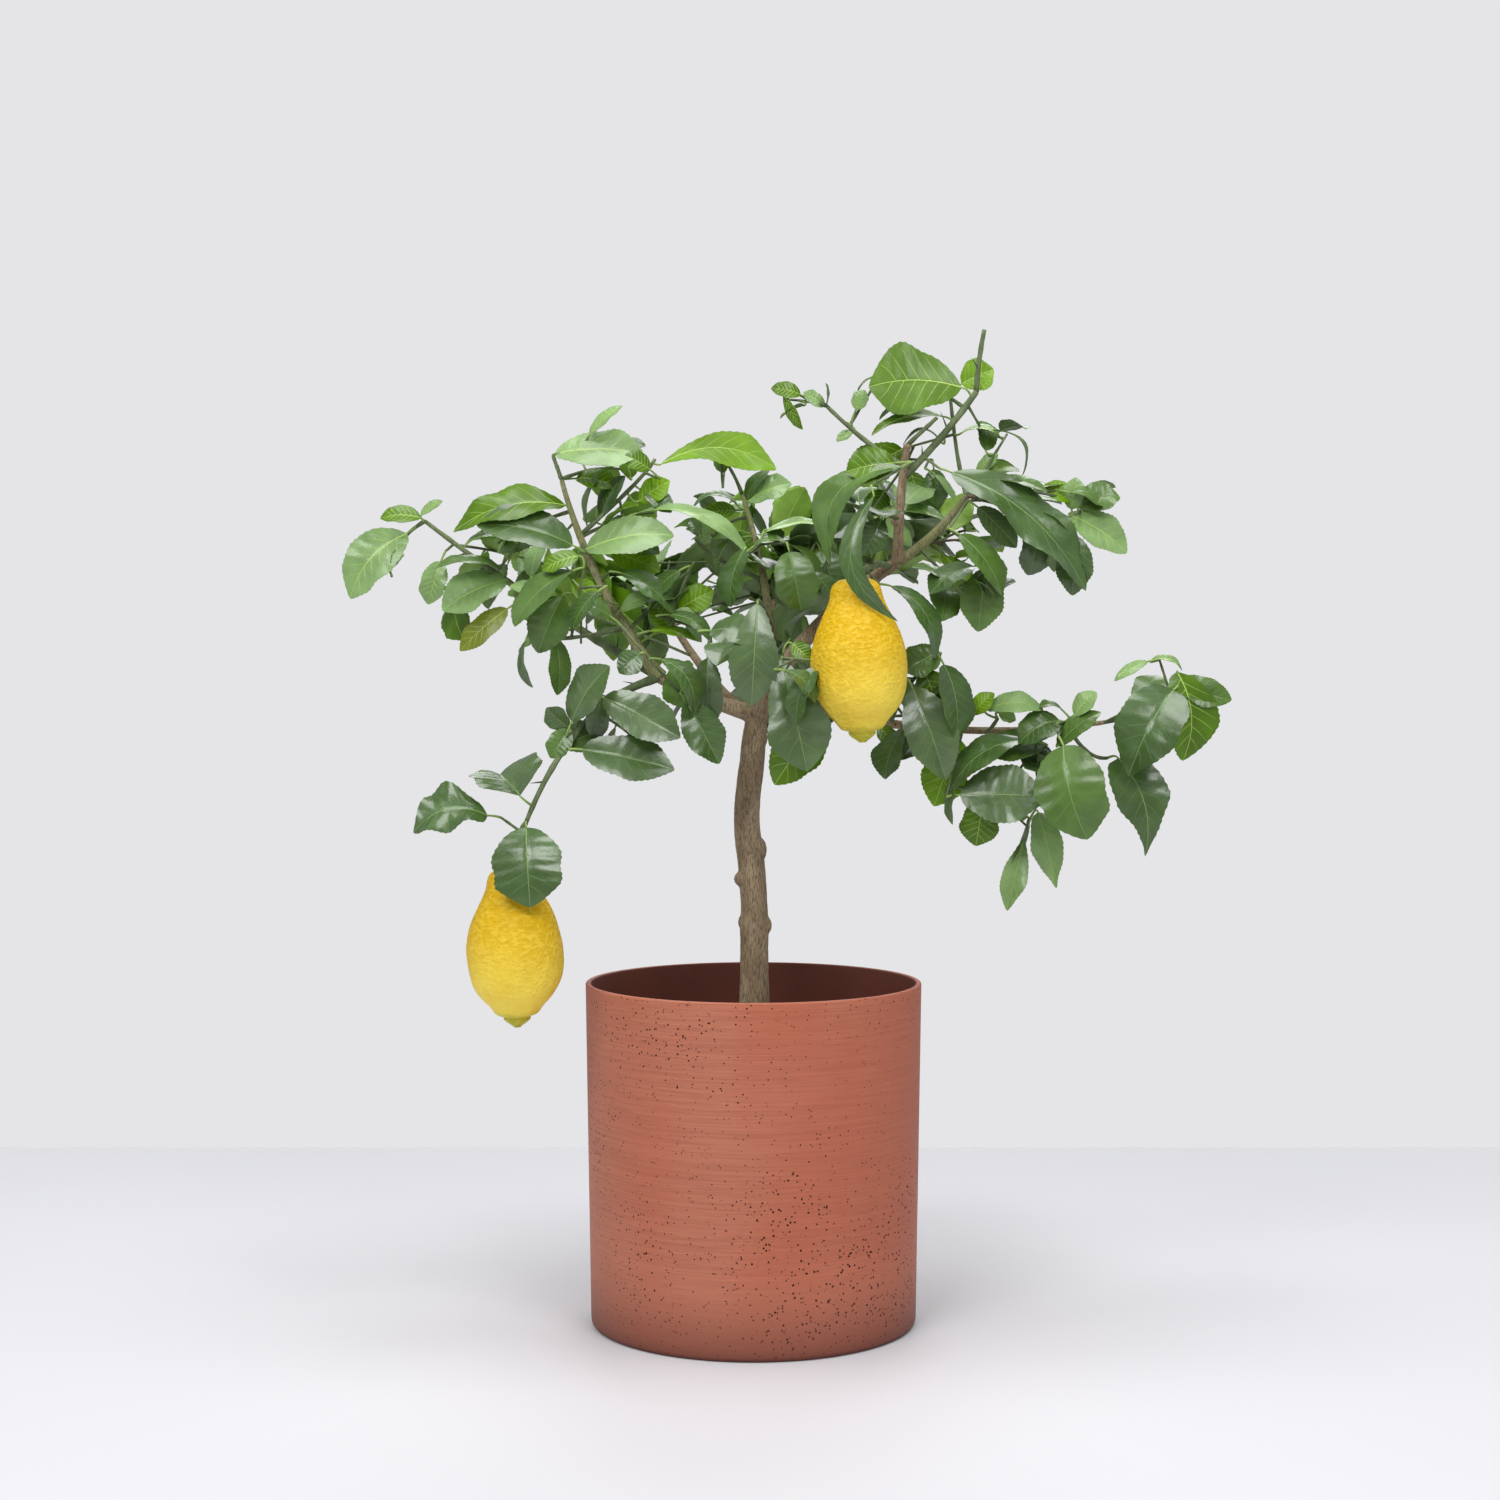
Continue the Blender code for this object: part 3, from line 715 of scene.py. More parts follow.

# The leaves that give the tree its look from the front, listed one by one: tint, the way the top faces, foot
# and tip in millimetres from the middle of their mass, width in millimetres, how far it arches, and any more
# form
frontLeaves = {
    "far_left_tip": [
        ("pale", "front", (11, -4, 13), (-28, -10, -32), 35, 0.25, dict(rise=-0.10)),
        ("fresh", "upFront", (20, 0, 24), (-8, -2, 24), 18, 0.30),
        ("pale", "upFront", (20, 0, 26), (35, 0, 36), 9, 0.20),
    ],
    "far_left": [
        ("pale", "upFront", (30, -4, 15), (-14, -10, -6), 36, 0.25),
        ("pale", "front", (-16, 2, 28), (-25, 0, -2), 19, 0.20),
        ("gold", "front", (31, -8, -5), (-2, -10, -34), 19, 0.20),
        ("mid", "up", (26, -4, 22), (-18, -10, 24), 20, 0.40),
    ],
    "left_shoulder": [
        ("fresh", "upFront", (38, 0, 10), (-38, -8, -7), 32, 0.50, dict(wave=0.07)),
        ("dark", "upFront", (44, -14, -18), (-20, -22, -4), 38, 0.30),
        ("pale", "up", (-2, -8, -12), (-32, -8, -19), 14, 0.60),
        ("mid", "upFront", (30, 8, -6), (-8, 4, -22), 24, 0.30),
    ],
    "left_mid": [
        ("mid", "upLeft", (13, -2, 28), (-25, -10, -8), 34, 0.35),
        ("mid", "front", (6, 4, 12), (-10, 2, -26), 27, 0.30),
        ("dark", "leftEdge", (-18, 0, -18), (-14, -2, -49), 14, 0.50),
        ("mid", "right", (1, 4, -16), (3, 4, -54), 20, 0.25),
        ("fresh", "upFront", (17, 2, 38), (-7, 0, 28), 18, 0.30),
        ("lime", "front", (13, 8, 22), (28, 8, 8), 16, 0.10),
        ("mid", "upFront", (38, 4, -2), (12, 0, 6), 20, 0.50),
        ("dark", "upLeft", (30, -8, 14), (14, -14, -10), 22, 0.30),
    ],
    "left_crest": [
        ("pale", "upFront", (-34, 0, 0), (27, -6, 0), 36, 0.20),
        ("fresh", "front", (31, -8, -11), (14, -10, -2), 15, 0.40),
        ("pale", "left", (-10, 0, 13), (12, 0, 33), 12, 0.20),
        ("dark", "upFront", (10, 6, 8), (28, 4, 6), 10, 0.30),
        ("fresh", "upFront", (-20, 8, -16), (8, 2, -22), 20, 0.30),
    ],
    "bright_leaf": [
        ("lime", "front", (-44, -2, -7), (36, -6, -10), 27, 0.10, dict(rise=0.16, slant=0.16)),
        ("lime", "front", (-58, -4, -32), (-37, -6, -18), 18, 0.10),
    ],
    "left_upper": [
        ("dark", "left", (-18, 4, 3), (-2, 0, 31), 22, 0.30),
        ("mid", "leftEdge", (-28, 2, -2), (-20, 0, 32), 18, 0.30),
        ("pale", "upFront", (-28, -10, -20), (32, -16, -10), 36, 0.30),
        ("pale", "up", (6, -2, 5), (84, -10, -22), 20, 0.60, dict(twist=0.5)),
        ("lime", "front", (-12, 10, -20), (22, 8, -34), 22, 0.20),
        ("fresh", "front", (-34, 8, -22), (-24, 6, -54), 20, 0.20),
        ("mid", "upFront", (-6, 4, -12), (22, -2, -22), 22, 0.30),
        ("dark", "upFront", (12, 6, 20), (30, 0, 6), 16, 0.30),
    ],
    "left_inner": [
        ("dark", "upRight", (-29, 0, 22), (7, -6, -5), 30, 0.35),
        ("lime", "front", (9, 14, -2), (33, 14, 11), 20, 0.10),
        ("pale", "upFront", (-30, 4, -3), (-9, 2, 7), 14, 0.30),
        ("mid", "leftEdge", (-34, 2, 2), (-63, 0, -18), 20, 0.70),
        ("fresh", "front", (4, 6, -16), (-8, 6, 3), 18, 0.10),
        ("pale", "upFront", (24, 2, -12), (6, 0, -4), 13, 0.20),
        ("lime", "up", (-10, 0, -17), (22, -2, -23), 18, 0.30),
        ("dark", "upRight", (3, -8, -6), (33, -12, -25), 20, 0.60),
        ("dark", "left", (10, 6, 24), (-8, 2, 6), 20, 0.30),
    ],
    "centre_top": [
        ("mid", "up", (9, -4, 14), (-24, -8, 13), 17, 1.10),
        ("fresh", "front", (7, 0, 12), (-17, 2, 9), 14, 0.20),
        ("mid", "left", (14, 0, 18), (30, -2, 40), 14, 0.50),
        ("pale", "upFront", (16, -4, 18), (45, -8, 30), 24, 0.30),
        ("dark", "front", (-18, -2, -6), (-25, -2, 6), 9, 0.20),
        ("mid", "leftEdge", (12, -8, -7), (-6, -12, -31), 20, 0.80),
        ("pale", "left", (-12, 0, -12), (-18, -2, 5), 14, 0.10),
        ("mid", "up", (10, 0, -10), (-10, -2, -8), 13, 0.30),
    ],
    "centre": [
        ("mid", "up", (-28, -4, 10), (-3, -6, 12), 18, 0.60),
        ("mid", "rightEdge", (-14, -2, 12), (17, -12, -18), 28, 0.80),
        ("pale", "up", (-20, 2, 20), (20, 0, 26), 18, 0.30),
        ("dark", "left", (-34, -12, 8), (-44, -20, -31), 26, 0.35),
        ("mid", "front", (-4, -20, 6), (4, -26, -34), 30, 0.30),
        ("dark", "right", (12, -12, -8), (26, -18, -28), 22, 0.30),
        ("dark", "upFront", (-18, 4, 22), (-8, 0, 14), 12, 0.20),
        ("dark", "front", (18, 10, 8), (30, 6, -24), 26, 0.20),
    ],
    "fork_front": [
        ("deep", "front", (12, 4, 21), (8, -4, -46), 31, 0.25, dict(slant=0.06)),
    ],
    "trunk_front": [
        ("deep", "front", (-10, 2, 46), (7, -10, -27), 41, 0.15, dict(slant=0.12)),
        ("dark", "left", (14, -10, 40), (-1, -18, 3), 22, 0.50),
        ("dark", "upRight", (-7, -14, 38), (12, -20, 18), 20, 0.60),
        ("fresh", "front", (20, 18, 11), (-14, 16, -37), 34, 0.15),
        ("fresh", "front", (-3, 8, 56), (10, 6, 44), 13, 0.20),
        ("dark", "front", (18, 8, 30), (20, 4, 2), 22, 0.20),
    ],
    "left_heart": [
        ("dark", "upRight", (-25, -6, 27), (-1, -12, -9), 26, 0.85),
        ("deep", "front", (6, 6, 28), (6, 4, -20), 21, 0.20),
        ("dark", "front", (-8, -4, -1), (14, -8, -42), 26, 0.20),
        ("fresh", "front", (-6, 6, 6), (-2, 4, -14), 14, 0.20),
    ],
    "left_low": [
        ("deep", "left", (-23, 0, 0), (2, -8, 37), 36, 0.20),
        ("deep", "front", (-2, -4, 16), (49, -12, -10), 30, 0.15),
        ("dark", "front", (-16, -4, -18), (45, -10, -31), 31, 0.12),
        ("dark", "front", (22, 8, 45), (8, 6, 32), 18, 0.10),
        ("dark", "left", (-25, 6, -4), (-40, 4, 9), 17, 0.10),
        ("mid", "front", (-25, 6, -5), (-37, 2, -24), 17, 0.10),
        ("deep", "front", (-4, 8, 18), (-8, 8, -14), 15, 0.10),
    ],
    "left_lemon_leaves": [
        ("dark", "upFront", (16, 0, -15), (-32, -6, -25), 38, 0.30, dict(wave=0.10, rise=-0.18, pace=2.1)),
        ("deep", "upFront", (37, 0, -2), (21, 30, 11), 50, 0.12, dict(fold=0.8)),
        ("dark", "front", (42, -12, -22), (46, -29, -72), 47, 0.30, dict(slant=0.03)),
    ],
    "lemon_arch": [
        ("mid", "left", (26, 0, 35), (-22, -10, -28), 33, 0.62, dict(rise=-0.24)),
        ("dark", "front", (7, -14, 15), (22, -24, -66), 15, 0.20, dict(rise=-0.28, twist=0.3)),
        ("fresh", "front", (22, 10, 38), (-10, 4, 32), 26, 0.20),
        ("dark", "front", (14, 18, 2), (2, 16, -22), 20, 0.10),
    ],
    "top": [
        ("fresh", "front", (27, -8, -2), (-36, -14, -2), 53, 0.10, dict(fold=0.12, rise=-0.06, slant=0.08)),
        ("fresh", "up", (16, -2, -21), (-34, -8, -33), 26, 0.40),
        ("lime", "front", (28, 6, 2), (50, 6, 12), 24, 0.12),
        ("pale", "upFront", (-44, 0, -16), (-38, -2, -3), 13, 0.10),
        ("dark", "leftEdge", (-34, 4, 6), (-43, 4, -4), 6, 0.30),
        ("mid", "up", (14, 0, -38), (-12, 0, -38), 8, 1.30),
    ],
    "top_left": [
        ("mid", "rightEdge", (15, 0, -4), (15, -4, 11), 12, 0.20),
        ("pale", "front", (14, 2, -4), (0, 2, 6), 10, 0.20),
        ("fresh", "front", (-2, 2, 4), (-22, 0, 8), 12, 0.40),
        ("fresh", "left", (-13, 0, 4), (-1, -2, -20), 9, 0.20),
        ("pale", "upFront", (34, 6, -20), (22, 4, -27), 8, 0.20),
    ],
    "right_crest": [
        ("pale", "up", (-27, 0, 6), (1, -4, 2), 17, 0.80),
        ("mid", "rightEdge", (-4, -2, 8), (16, -6, -22), 14, 1.10),
        ("pale", "upFront", (-16, 4, -22), (-2, 0, -8), 12, 0.20),
    ],
    "right_heart": [
        ("fresh", "front", (0, -14, 41), (-39, -18, 17), 30, 0.20),
        ("fresh", "front", (6, -6, 26), (14, -6, -2), 20, 0.10),
        ("mid", "front", (22, -4, 28), (24, -8, 2), 18, 0.20),
        ("pale", "upRight", (22, -10, 24), (36, -14, 6), 11, 0.20),
        ("pale", "up", (-16, -8, -2), (30, -16, -8), 24, 0.40),
        ("pale", "upFront", (-22, -12, -4), (6, -18, -26), 20, 0.20),
        ("dark", "front", (-26, -8, -4), (-14, -10, -26), 18, 0.20),
        ("fresh", "front", (-12, 4, 14), (-22, 2, -6), 18, 0.20),
    ],
    "right_shoulder": [
        ("dark", "upFront", (-58, 6, 39), (31, -10, -39), 38, 0.30, dict(wave=0.09, rise=0.05, pace=2.4)),
        ("dark", "front", (25, 6, -3), (23, 4, -43), 24, 0.20),
        ("deep", "front", (-40, 8, 16), (-14, 6, -11), 18, 0.20),
        ("mid", "up", (-30, 8, 34), (6, 2, 26), 20, 0.30),
    ],
    "right_mid": [
        ("mid", "upRight", (-5, -4, 43), (23, -12, 3), 36, 0.30),
        ("mid", "front", (13, 4, 21), (8, 0, -21), 28, 0.15),
        ("dark", "upLeft", (5, -4, 22), (-25, -12, 4), 30, 0.35),
        ("dark", "upRight", (-50, -6, 9), (-20, -14, -38), 24, 0.70),
        ("mid", "up", (-8, 4, 10), (-36, 0, 22), 20, 0.30),
    ],
    "right_low_inner": [
        ("mid", "front", (11, 8, 47), (-14, 6, 35), 24, 0.15),
        ("dark", "upRight", (12, -10, 39), (20, -20, -10), 33, 0.35),
        ("deep", "front", (-9, -12, 24), (13, -20, -37), 34, 0.30),
        ("lime", "front", (23, 8, -10), (7, 6, -56), 30, 0.12),
        ("dark", "left", (-15, -2, -5), (-27, -8, -37), 27, 0.30),
        ("fresh", "front", (0, 10, 36), (12, 8, 4), 24, 0.10),
        ("lime", "upRight", (32, 0, 6), (46, -4, 20), 14, 0.30),
        ("fresh", "front", (-30, 10, -2), (-18, 8, -18), 14, 0.10),
    ],
    "right_low": [
        ("pale", "upFront", (-36, 2, 34), (1, -4, 35), 19, 0.60),
        ("pale", "front", (-28, 0, 32), (-17, -2, 27), 9, 0.10),
        ("dark", "upFront", (12, -4, 27), (-16, -10, 12), 26, 0.60),
        ("mid", "up", (14, 0, 34), (-2, -4, 36), 13, 0.70),
        ("mid", "upLeft", (10, -10, 10), (38, -12, 33), 24, 0.25),
        ("pale", "left", (22, -4, 30), (36, -6, 46), 16, 0.30),
        ("mid", "upFront", (12, -24, 11), (27, -34, -50), 50, 0.40, dict(rise=-0.10, phase=0.4)),
        ("dark", "front", (-55, -12, -22), (2, -20, -23), 40, 0.10),
        ("dark", "upLeft", (-10, -4, 14), (-62, -10, -18), 30, 0.60),
        ("dark", "leftEdge", (-57, -6, -10), (-60, -8, -42), 14, 0.30),
        ("fresh", "front", (-38, 2, -26), (-43, 2, -57), 26, 0.10),
        ("mid", "upFront", (4, 6, 10), (-40, 0, 4), 26, 0.30),
    ],
    "right_hanging": [
        ("pale", "front", (2, 0, 20), (-10, -6, -29), 18, 0.10, dict(twist=1.3, slant=0.12)),
        ("pale", "front", (11, -2, 37), (23, -6, -14), 21, 0.15, dict(twist=1.4, slant=-0.08, taper=0.3)),
        ("dark", "rightEdge", (5, 2, 33), (-9, -2, -2), 10, 0.20),
    ],
    "far_right": [
        ("dark", "upFront", (1, -10, 6), (-31, -20, -51), 47, 0.60, dict(slant=-0.05, taper=0.25)),
        ("fresh", "front", (4, -4, 18), (8, -6, -42), 36, 0.12, dict(rise=0.12)),
        ("mid", "front", (6, 2, 12), (41, -4, -1), 21, 0.20, dict(rise=-0.08)),
        ("pale", "upFront", (-15, 0, 25), (-38, -2, 12), 9, 0.30),
        ("pale", "up", (-13, 0, 25), (8, -2, 20), 13, 0.80),
    ],
    "far_right_drop": [
        ("dark", "upFront", (-12, -2, 36), (6, -8, -30), 37, 0.30,
         dict(rise=0.10, slant=-0.14, taper=0.65, twist=0.6)),
    ],
    "far_right_high": [
        ("lime", "front", (-16, 0, 10), (-36, -2, 21), 15, 0.30),
        ("pale", "front", (-17, 0, 4), (-14, -2, 26), 15, 0.20),
        ("mid", "front", (-12, -2, 6), (16, -4, 12), 22, 0.30, dict(rise=0.10)),
        ("pale", "upFront", (-19, -4, 0), (20, -10, -26), 32, 0.25),
    ],
}

# What the branching rule adds behind them: the limbs that it starts from, how many leaves, how long and how
# wide they are in millimetres, the tints that are dealt out, and in some a shift in millimetres
backLimbs = "back_left_bough back_bough back_right_bough"
sprays = {
    "far_left_tip": ("far_left_bough", 2, (46, 25), "fresh lime pale"),
    "far_left": ("far_left_bough", 3, (50, 27), "fresh pale mid"),
    "left_shoulder": ("upper_left_bough", 4, (46, 25), "mid fresh pale", (4, 14, -10)),
    "left_crest": ("upper_left_bough", 3, (40, 22), "fresh mid pale", (0, 16, -10)),
    "bright_leaf": ("centre_bough", 1, (44, 22), "lime fresh"),
    "left_upper": ("upper_left_bough", 5, (46, 25), "mid fresh pale lime", (0, 8, 0)),
    "left_mid": ("upper_left_bough far_left_bough", 5, (44, 25), "mid fresh pale"),
    "left_inner": ("upper_left_bough left_bough", 6, (42, 24), "mid fresh lime pale"),
    "left_low": ("low_left_bough left_bough", 4, (52, 30), "deep dark"),
    "left_heart": ("left_bough", 4, (48, 27), "deep dark mid"),
    "centre_top": ("centre_bough", 7, (42, 22), "mid dark pale"),
    "centre": ("centre_bough right_bough", 8, (48, 27), "dark mid deep"),
    "fork_front": ("centre_bough", 2, (50, 28), "deep dark"),
    "trunk_front": ("trunk low_right_bough", 2, (50, 28), "deep dark fresh"),
    "lemon_arch": ("pruned_stub right_bough", 3, (48, 24), "mid dark"),
    "top_left": ("top_left_bough", 1, (26, 14), "fresh mid pale"),
    "top": ("top_bough", 2, (46, 26), "fresh lime mid"),
    "right_heart": ("upper_right_bough pruned_stub", 7, (48, 26), "dark mid pale"),
    "right_crest": ("upper_right_bough", 3, (34, 18), "fresh mid pale"),
    "right_shoulder": ("upper_right_bough", 4, (52, 28), "dark deep mid"),
    "far_right_high": ("upper_right_bough", 4, (36, 20), "fresh pale mid"),
    "right_mid": ("upper_right_bough right_bough", 4, (48, 27), "dark mid deep"),
    "right_low_inner": ("low_right_bough", 6, (48, 28), "deep dark fresh"),
    "right_low": ("low_right_bough", 6, (52, 30), "dark deep mid"),
    "far_right": ("low_right_bough", 3, (44, 26), "dark mid fresh", (-2, 12, -12)),
    "back_left": (backLimbs, 32, (47, 27), "mid fresh pale mid"),
    "back_centre": (backLimbs, 36, (48, 27), "mid fresh pale dark"),
    "back_right": (backLimbs, 32, (47, 27), "dark mid fresh mid"),
    "back_low": (backLimbs, 24, (46, 27), "deep dark mid"),
    "back_far_left": ("far_left_bough back_left_bough", 18, (44, 25), "mid fresh pale"),
    "back_far_right": ("back_right_bough", 17, (43, 25), "mid dark fresh", (-22, 6, 26)),
}

growth = {
    "turn": 2.4,  # how far round its twig each leaf stands from the one below, in radians
    "leavesPerFork": 4,
    "throughMass": 0.6,  # how far past its mass's middle the main twig ends, as a share of the way out
    "forkReach": 0.62,
    "leafSize": (0.78, 1.12),
    "shortest": 0.7,  # a leaf cut short at its mass's edge keeps this share of its length
    "stalk": (6, 10),  # in millimetres
    "reach": 1.22,  # how far a tip may lie from its mass's middle, as a share of the mass's own oval
    "reachBehindFront": 1.12,
    "behindFront": (0.80, 0.55, 0.80),  # how much of its mass a spray fills behind the listed front leaves
}


def middleOf(mass):
    low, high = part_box(mass)
    low, high = Vector(low), Vector(high)
    return (low + high) / 2, (high - low) / 2


def dealtForm(dice, folds, waves, twists):
    # the small differences between one leaf and the next
    form = dict(fold=dice.uniform(*folds), wave=dice.uniform(*waves), twist=dice.uniform(-twists, twists))
    form.update(phase=dice.uniform(0, math.tau), pace=dice.uniform(1.2, 2.2))
    return form


def setFrontLeaves():
    dice = random.Random(5)
    for mass, paths in shoots.items():
        centre, _ = middleOf(mass)
        for path in paths:
            points = [centre + Vector(point) * mm for point in path]
            start = nearestWood(points[0])
            near = (points[0] - start).length < 3 * mm
            points = [start] + points[1 if near else 0 :]
            stem(greenStems, bend(points[0], points[len(points) // 2], points[-1], 12), "setByHand")
    for mass, leaves in frontLeaves.items():
        centre, _ = middleOf(mass)
        for tint, facing, foot, tip, width, curl, *more in leaves:
            form = dealtForm(dice, (0.14, 0.32), (0.015, 0.04), 0.25)
            form.update(curl=curl + 0.08)
            form.update(*more)
            foot = centre + Vector(foot) * mm
            tip = centre + Vector(tip) * mm
            face = Vector(facings[facing])
            petiole(foot, tip - foot + face.normalized() * curl * (tip - foot).length)
            leaf(tint, foot, tip, face, width * mm, form, fine=True)


def twigPath(start, centre, halves, dice):
    # a twig from the limb through the middle of its mass to near the mass's far side
    way = centre - start
    far = way.normalized() if way.length > mm else Vector((0, 0, 1))
    end = centre + Vector([half * part for half, part in zip(halves, far)]) * growth["throughMass"]
    swing = Vector([dice.uniform(-1, 1) for _ in range(3)]) * (end - start).length * 0.08
    pull = (start + end) / 2 + swing + Vector((0, 0, 0.10 * (end - start).length))
    return bend(start, pull, end, 14)


def growTwigs(mass, centre, halves, names, leaves, dice, seed):
    # a twig through the mass and forks of it, but every other fork of a mass at the back comes from a limb
    paths = [twigPath(nearestOnLimbs(centre, names), centre, halves, dice)]
    for extra in range(leaves // growth["leavesPerFork"]):
        side = Vector([dice.uniform(-1, 1) * half for half in halves]) * growth["forkReach"]
        fork = paths[0][5 + extra % 7]
        if mass not in frontLeaves and extra % 2:
            fork = limbPoint(dice.choice(names), dice.uniform(0.55, 1.0))
        paths.append(bend(fork, (fork + centre + side) / 2 + Vector((0, 0, 4 * mm)), centre + side, 10))
    for k, path in enumerate(paths):
        heap = greenStems if k or halves.x < 40 * mm else brownStems
        stem(heap, path, "fork" if k else "main", seed)
    return paths


def growSpray(mass, number):
    # leaves in a spiral round the mass's twigs, kept inside the mass
    names, leaves, (length, width), tints, *shift = sprays[mass]
    names, tints, length, width = names.split(), tints.split(), length * mm, width * mm
    dice = random.Random(100 + number)
    centre, halves = middleOf(mass)
    most = growth["reach"]
    if mass in frontLeaves:
        most = growth["reachBehindFront"]
        centre = centre + Vector((0, 0.42 * halves.y, 0))
        halves = halves * Vector(growth["behindFront"])
    for move in shift:
        centre = centre + Vector(move) * mm
    crownHeart = Vector((10 * mm, 0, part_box("right_bough")[0][2]))
    outward = (centre - crownHeart).normalized()
    paths = growTwigs(mass, centre, halves, names, leaves, dice, number)
    for i in range(leaves):
        path = paths[i % len(paths)]
        rank = (i // len(paths) + 0.7) / max(1, math.ceil(leaves / len(paths)))
        spot = min(len(path) - 1.001, (0.15 + 0.85 * rank) * (len(path) - 1))
        low = int(spot)
        node = path[low].lerp(path[low + 1], spot - low)
        along = (path[low + 1] - path[low]).normalized()
        spin = Matrix.Rotation(growth["turn"] * i + dice.uniform(-0.4, 0.4), 3, along)
        radial = (spin @ along.orthogonal()).normalized()
        way = (along * 0.45 + radial + outward * 0.35 + Vector((0, 0, -0.15))).normalized()
        size = dice.uniform(*growth["leafSize"])
        foot = node + way * dice.uniform(*growth["stalk"]) * mm
        tip = foot + way * length * size
        off = tip - centre
        over = math.sqrt(sum((part / half) ** 2 for part, half in zip(off, halves)))
        if over > most:
            tip = centre + off * (most / over)
        shortest = growth["shortest"] * length * size
        if (tip - foot).length < shortest:
            back = (tip - node).normalized() + along * dice.uniform(-0.6, 0.6)
            foot = tip - back.normalized() * shortest
        face = Vector((0, 0, 1)) * 0.9 + outward * 0.55
        face = face + Vector([dice.uniform(-0.45, 0.45) for _ in range(3)])
        curl = dice.uniform(0.15, 0.5)
        form = dict(dealtForm(dice, (0.15, 0.4), (0.01, 0.045), 0.5), curl=curl)
        petiole(foot, tip - foot, node)
        leaf(dice.choice(tints), foot, tip, face, width * size * dice.uniform(0.9, 1.1), form)


def makeGreenLimbs():
    dice = random.Random(11)
    addWood([trunkPoint(i / 20) for i in range(14, 21)])
    for name in limbs:
        path = limbPath(name, 5 * mm)
        addWood(path)
        if name not in greenLimbs:
            continue
        steps = len(path) - 1
        radii = [limbRadius(name, i / steps) * (1.14 if i % 5 == 2 else 1.0) for i in range(steps + 1)]
        greenStems.add(*pipe(path, radii, sides=14, wobble=0.03, seed=len(name)))
        for i in range(4, steps - 2, 5):
            along = (path[i + 1] - path[i]).normalized()
            out = Matrix.Rotation(growth["turn"] * i, 3, along) @ along.orthogonal().normalized()
            thorn(path[i] + out * radii[i] * 0.8, out + along * 0.5, dice.uniform(7, 12) * mm)


# Stems: colour, paler patches, crevices and how strongly the crevices show
stemShades = {
    "petiole": (shade(122, 150, 72), shade(150, 176, 96), shade(96, 122, 60), 0.3),
    "green stem": (shade(86, 100, 62), shade(116, 130, 88), shade(60, 70, 46), 0.5),
    "brown stem": (shade(112, 98, 76), shade(140, 128, 104), shade(70, 58, 46), 0.6),
    "thorn": (shade(82, 84, 62), shade(106, 108, 84), shade(58, 56, 44), 0.3),
}


def makeLeaves():
    makeGreenLimbs()
    setFrontLeaves()
    for number, mass in enumerate(sprays):
        growSpray(mass, number)
    masses = list(dict.fromkeys([*frontLeaves, *sprays]))
    for tint, heap in leafTops.items():
        heap.pieces(f"leaves_{tint}", leafPaint(f"leaf {tint}", *leafTints[tint][:3]), "leaves", masses)
    for tint, (colour, rib, vein, through) in undersideTints.items():
        paint = leafPaint(f"leaf back {tint}", colour, 0.46, through)
        leafUndersides[tint].pieces(f"leaf_backs_{tint}", paint, "leaves")
        for kind, heap, hue in (("rib", leafRibs[tint], rib), ("vein", leafVeins[tint], vein)):
            paint = Paint(f"leaf {kind} {tint}", Base_Color=hue)
            paint.set("Roughness", 0.34 + paint.cloud(700) * 0.16)
            heap.pieces(f"leaf_{kind}s_{tint}", paint, "young_leaves")
    paints = {kind: barkPaint(kind, *shades) for kind, shades in stemShades.items()}
    petioles.pieces("petioles", paints["petiole"], "young_leaves")
    greenStems.pieces("green_stems", paints["green stem"], "green_bark", greenLimbs)
    brownStems.pieces("brown_stems", paints["brown stem"], "bark")
    thorns.pieces("thorns", paints["thorn"], "bark")
    print("leaves", sum(len(heap.shapes) for heap in leafTops.values()))


# Lemons

lemon = {
    "width": 63 * mm,
    "grid": (120, 144),  # rings, and points in each
    "widest": 0.53,
    "bodyEnd": 0.93,
    "below": (2.9, 0.70),  # how full it is from there down, and how bluntly it ends
    "above": (1.8, 0.72),
    "neck": (0.30, 0.10),  # how wide and how long
    "nipple": (0.28, 0.94, 0.050),  # how wide, where and how long
    "yellow": shade(244, 216, 80),
    "deep": shade(212, 168, 0),
    "pale": shade(250, 224, 92),
    "green": shade(140, 152, 16),
    # its top from its mass's middle and its end from its top, right and up in millimetres, and its seed
    "left_lemon": ((-4, 40), (3, -104), 1),
    "right_lemon": ((-4, 53), (5, -106), 4),
}


def lemonRadius(t):
    # the fruit's outline from its neck at 0 to its nipple at 1, as a share of its half width
    widest = lemon["widest"]
    neck, neckLength = lemon["neck"]
    nipple, nippleAt, nippleLength = lemon["nipple"]
    if t > widest:
        fullness, bluntness = lemon["below"]
        out = min(1.0, (t - widest) / (lemon["bodyEnd"] - widest))
    else:
        fullness, bluntness = lemon["above"]
        out = (widest - t) / widest
    body = (1 - out**fullness) ** bluntness
    neck = neck * math.exp(-((t / neckLength) ** 2))
    return body + neck + nipple * math.exp(-(((t - nippleAt) / nippleLength) ** 2))


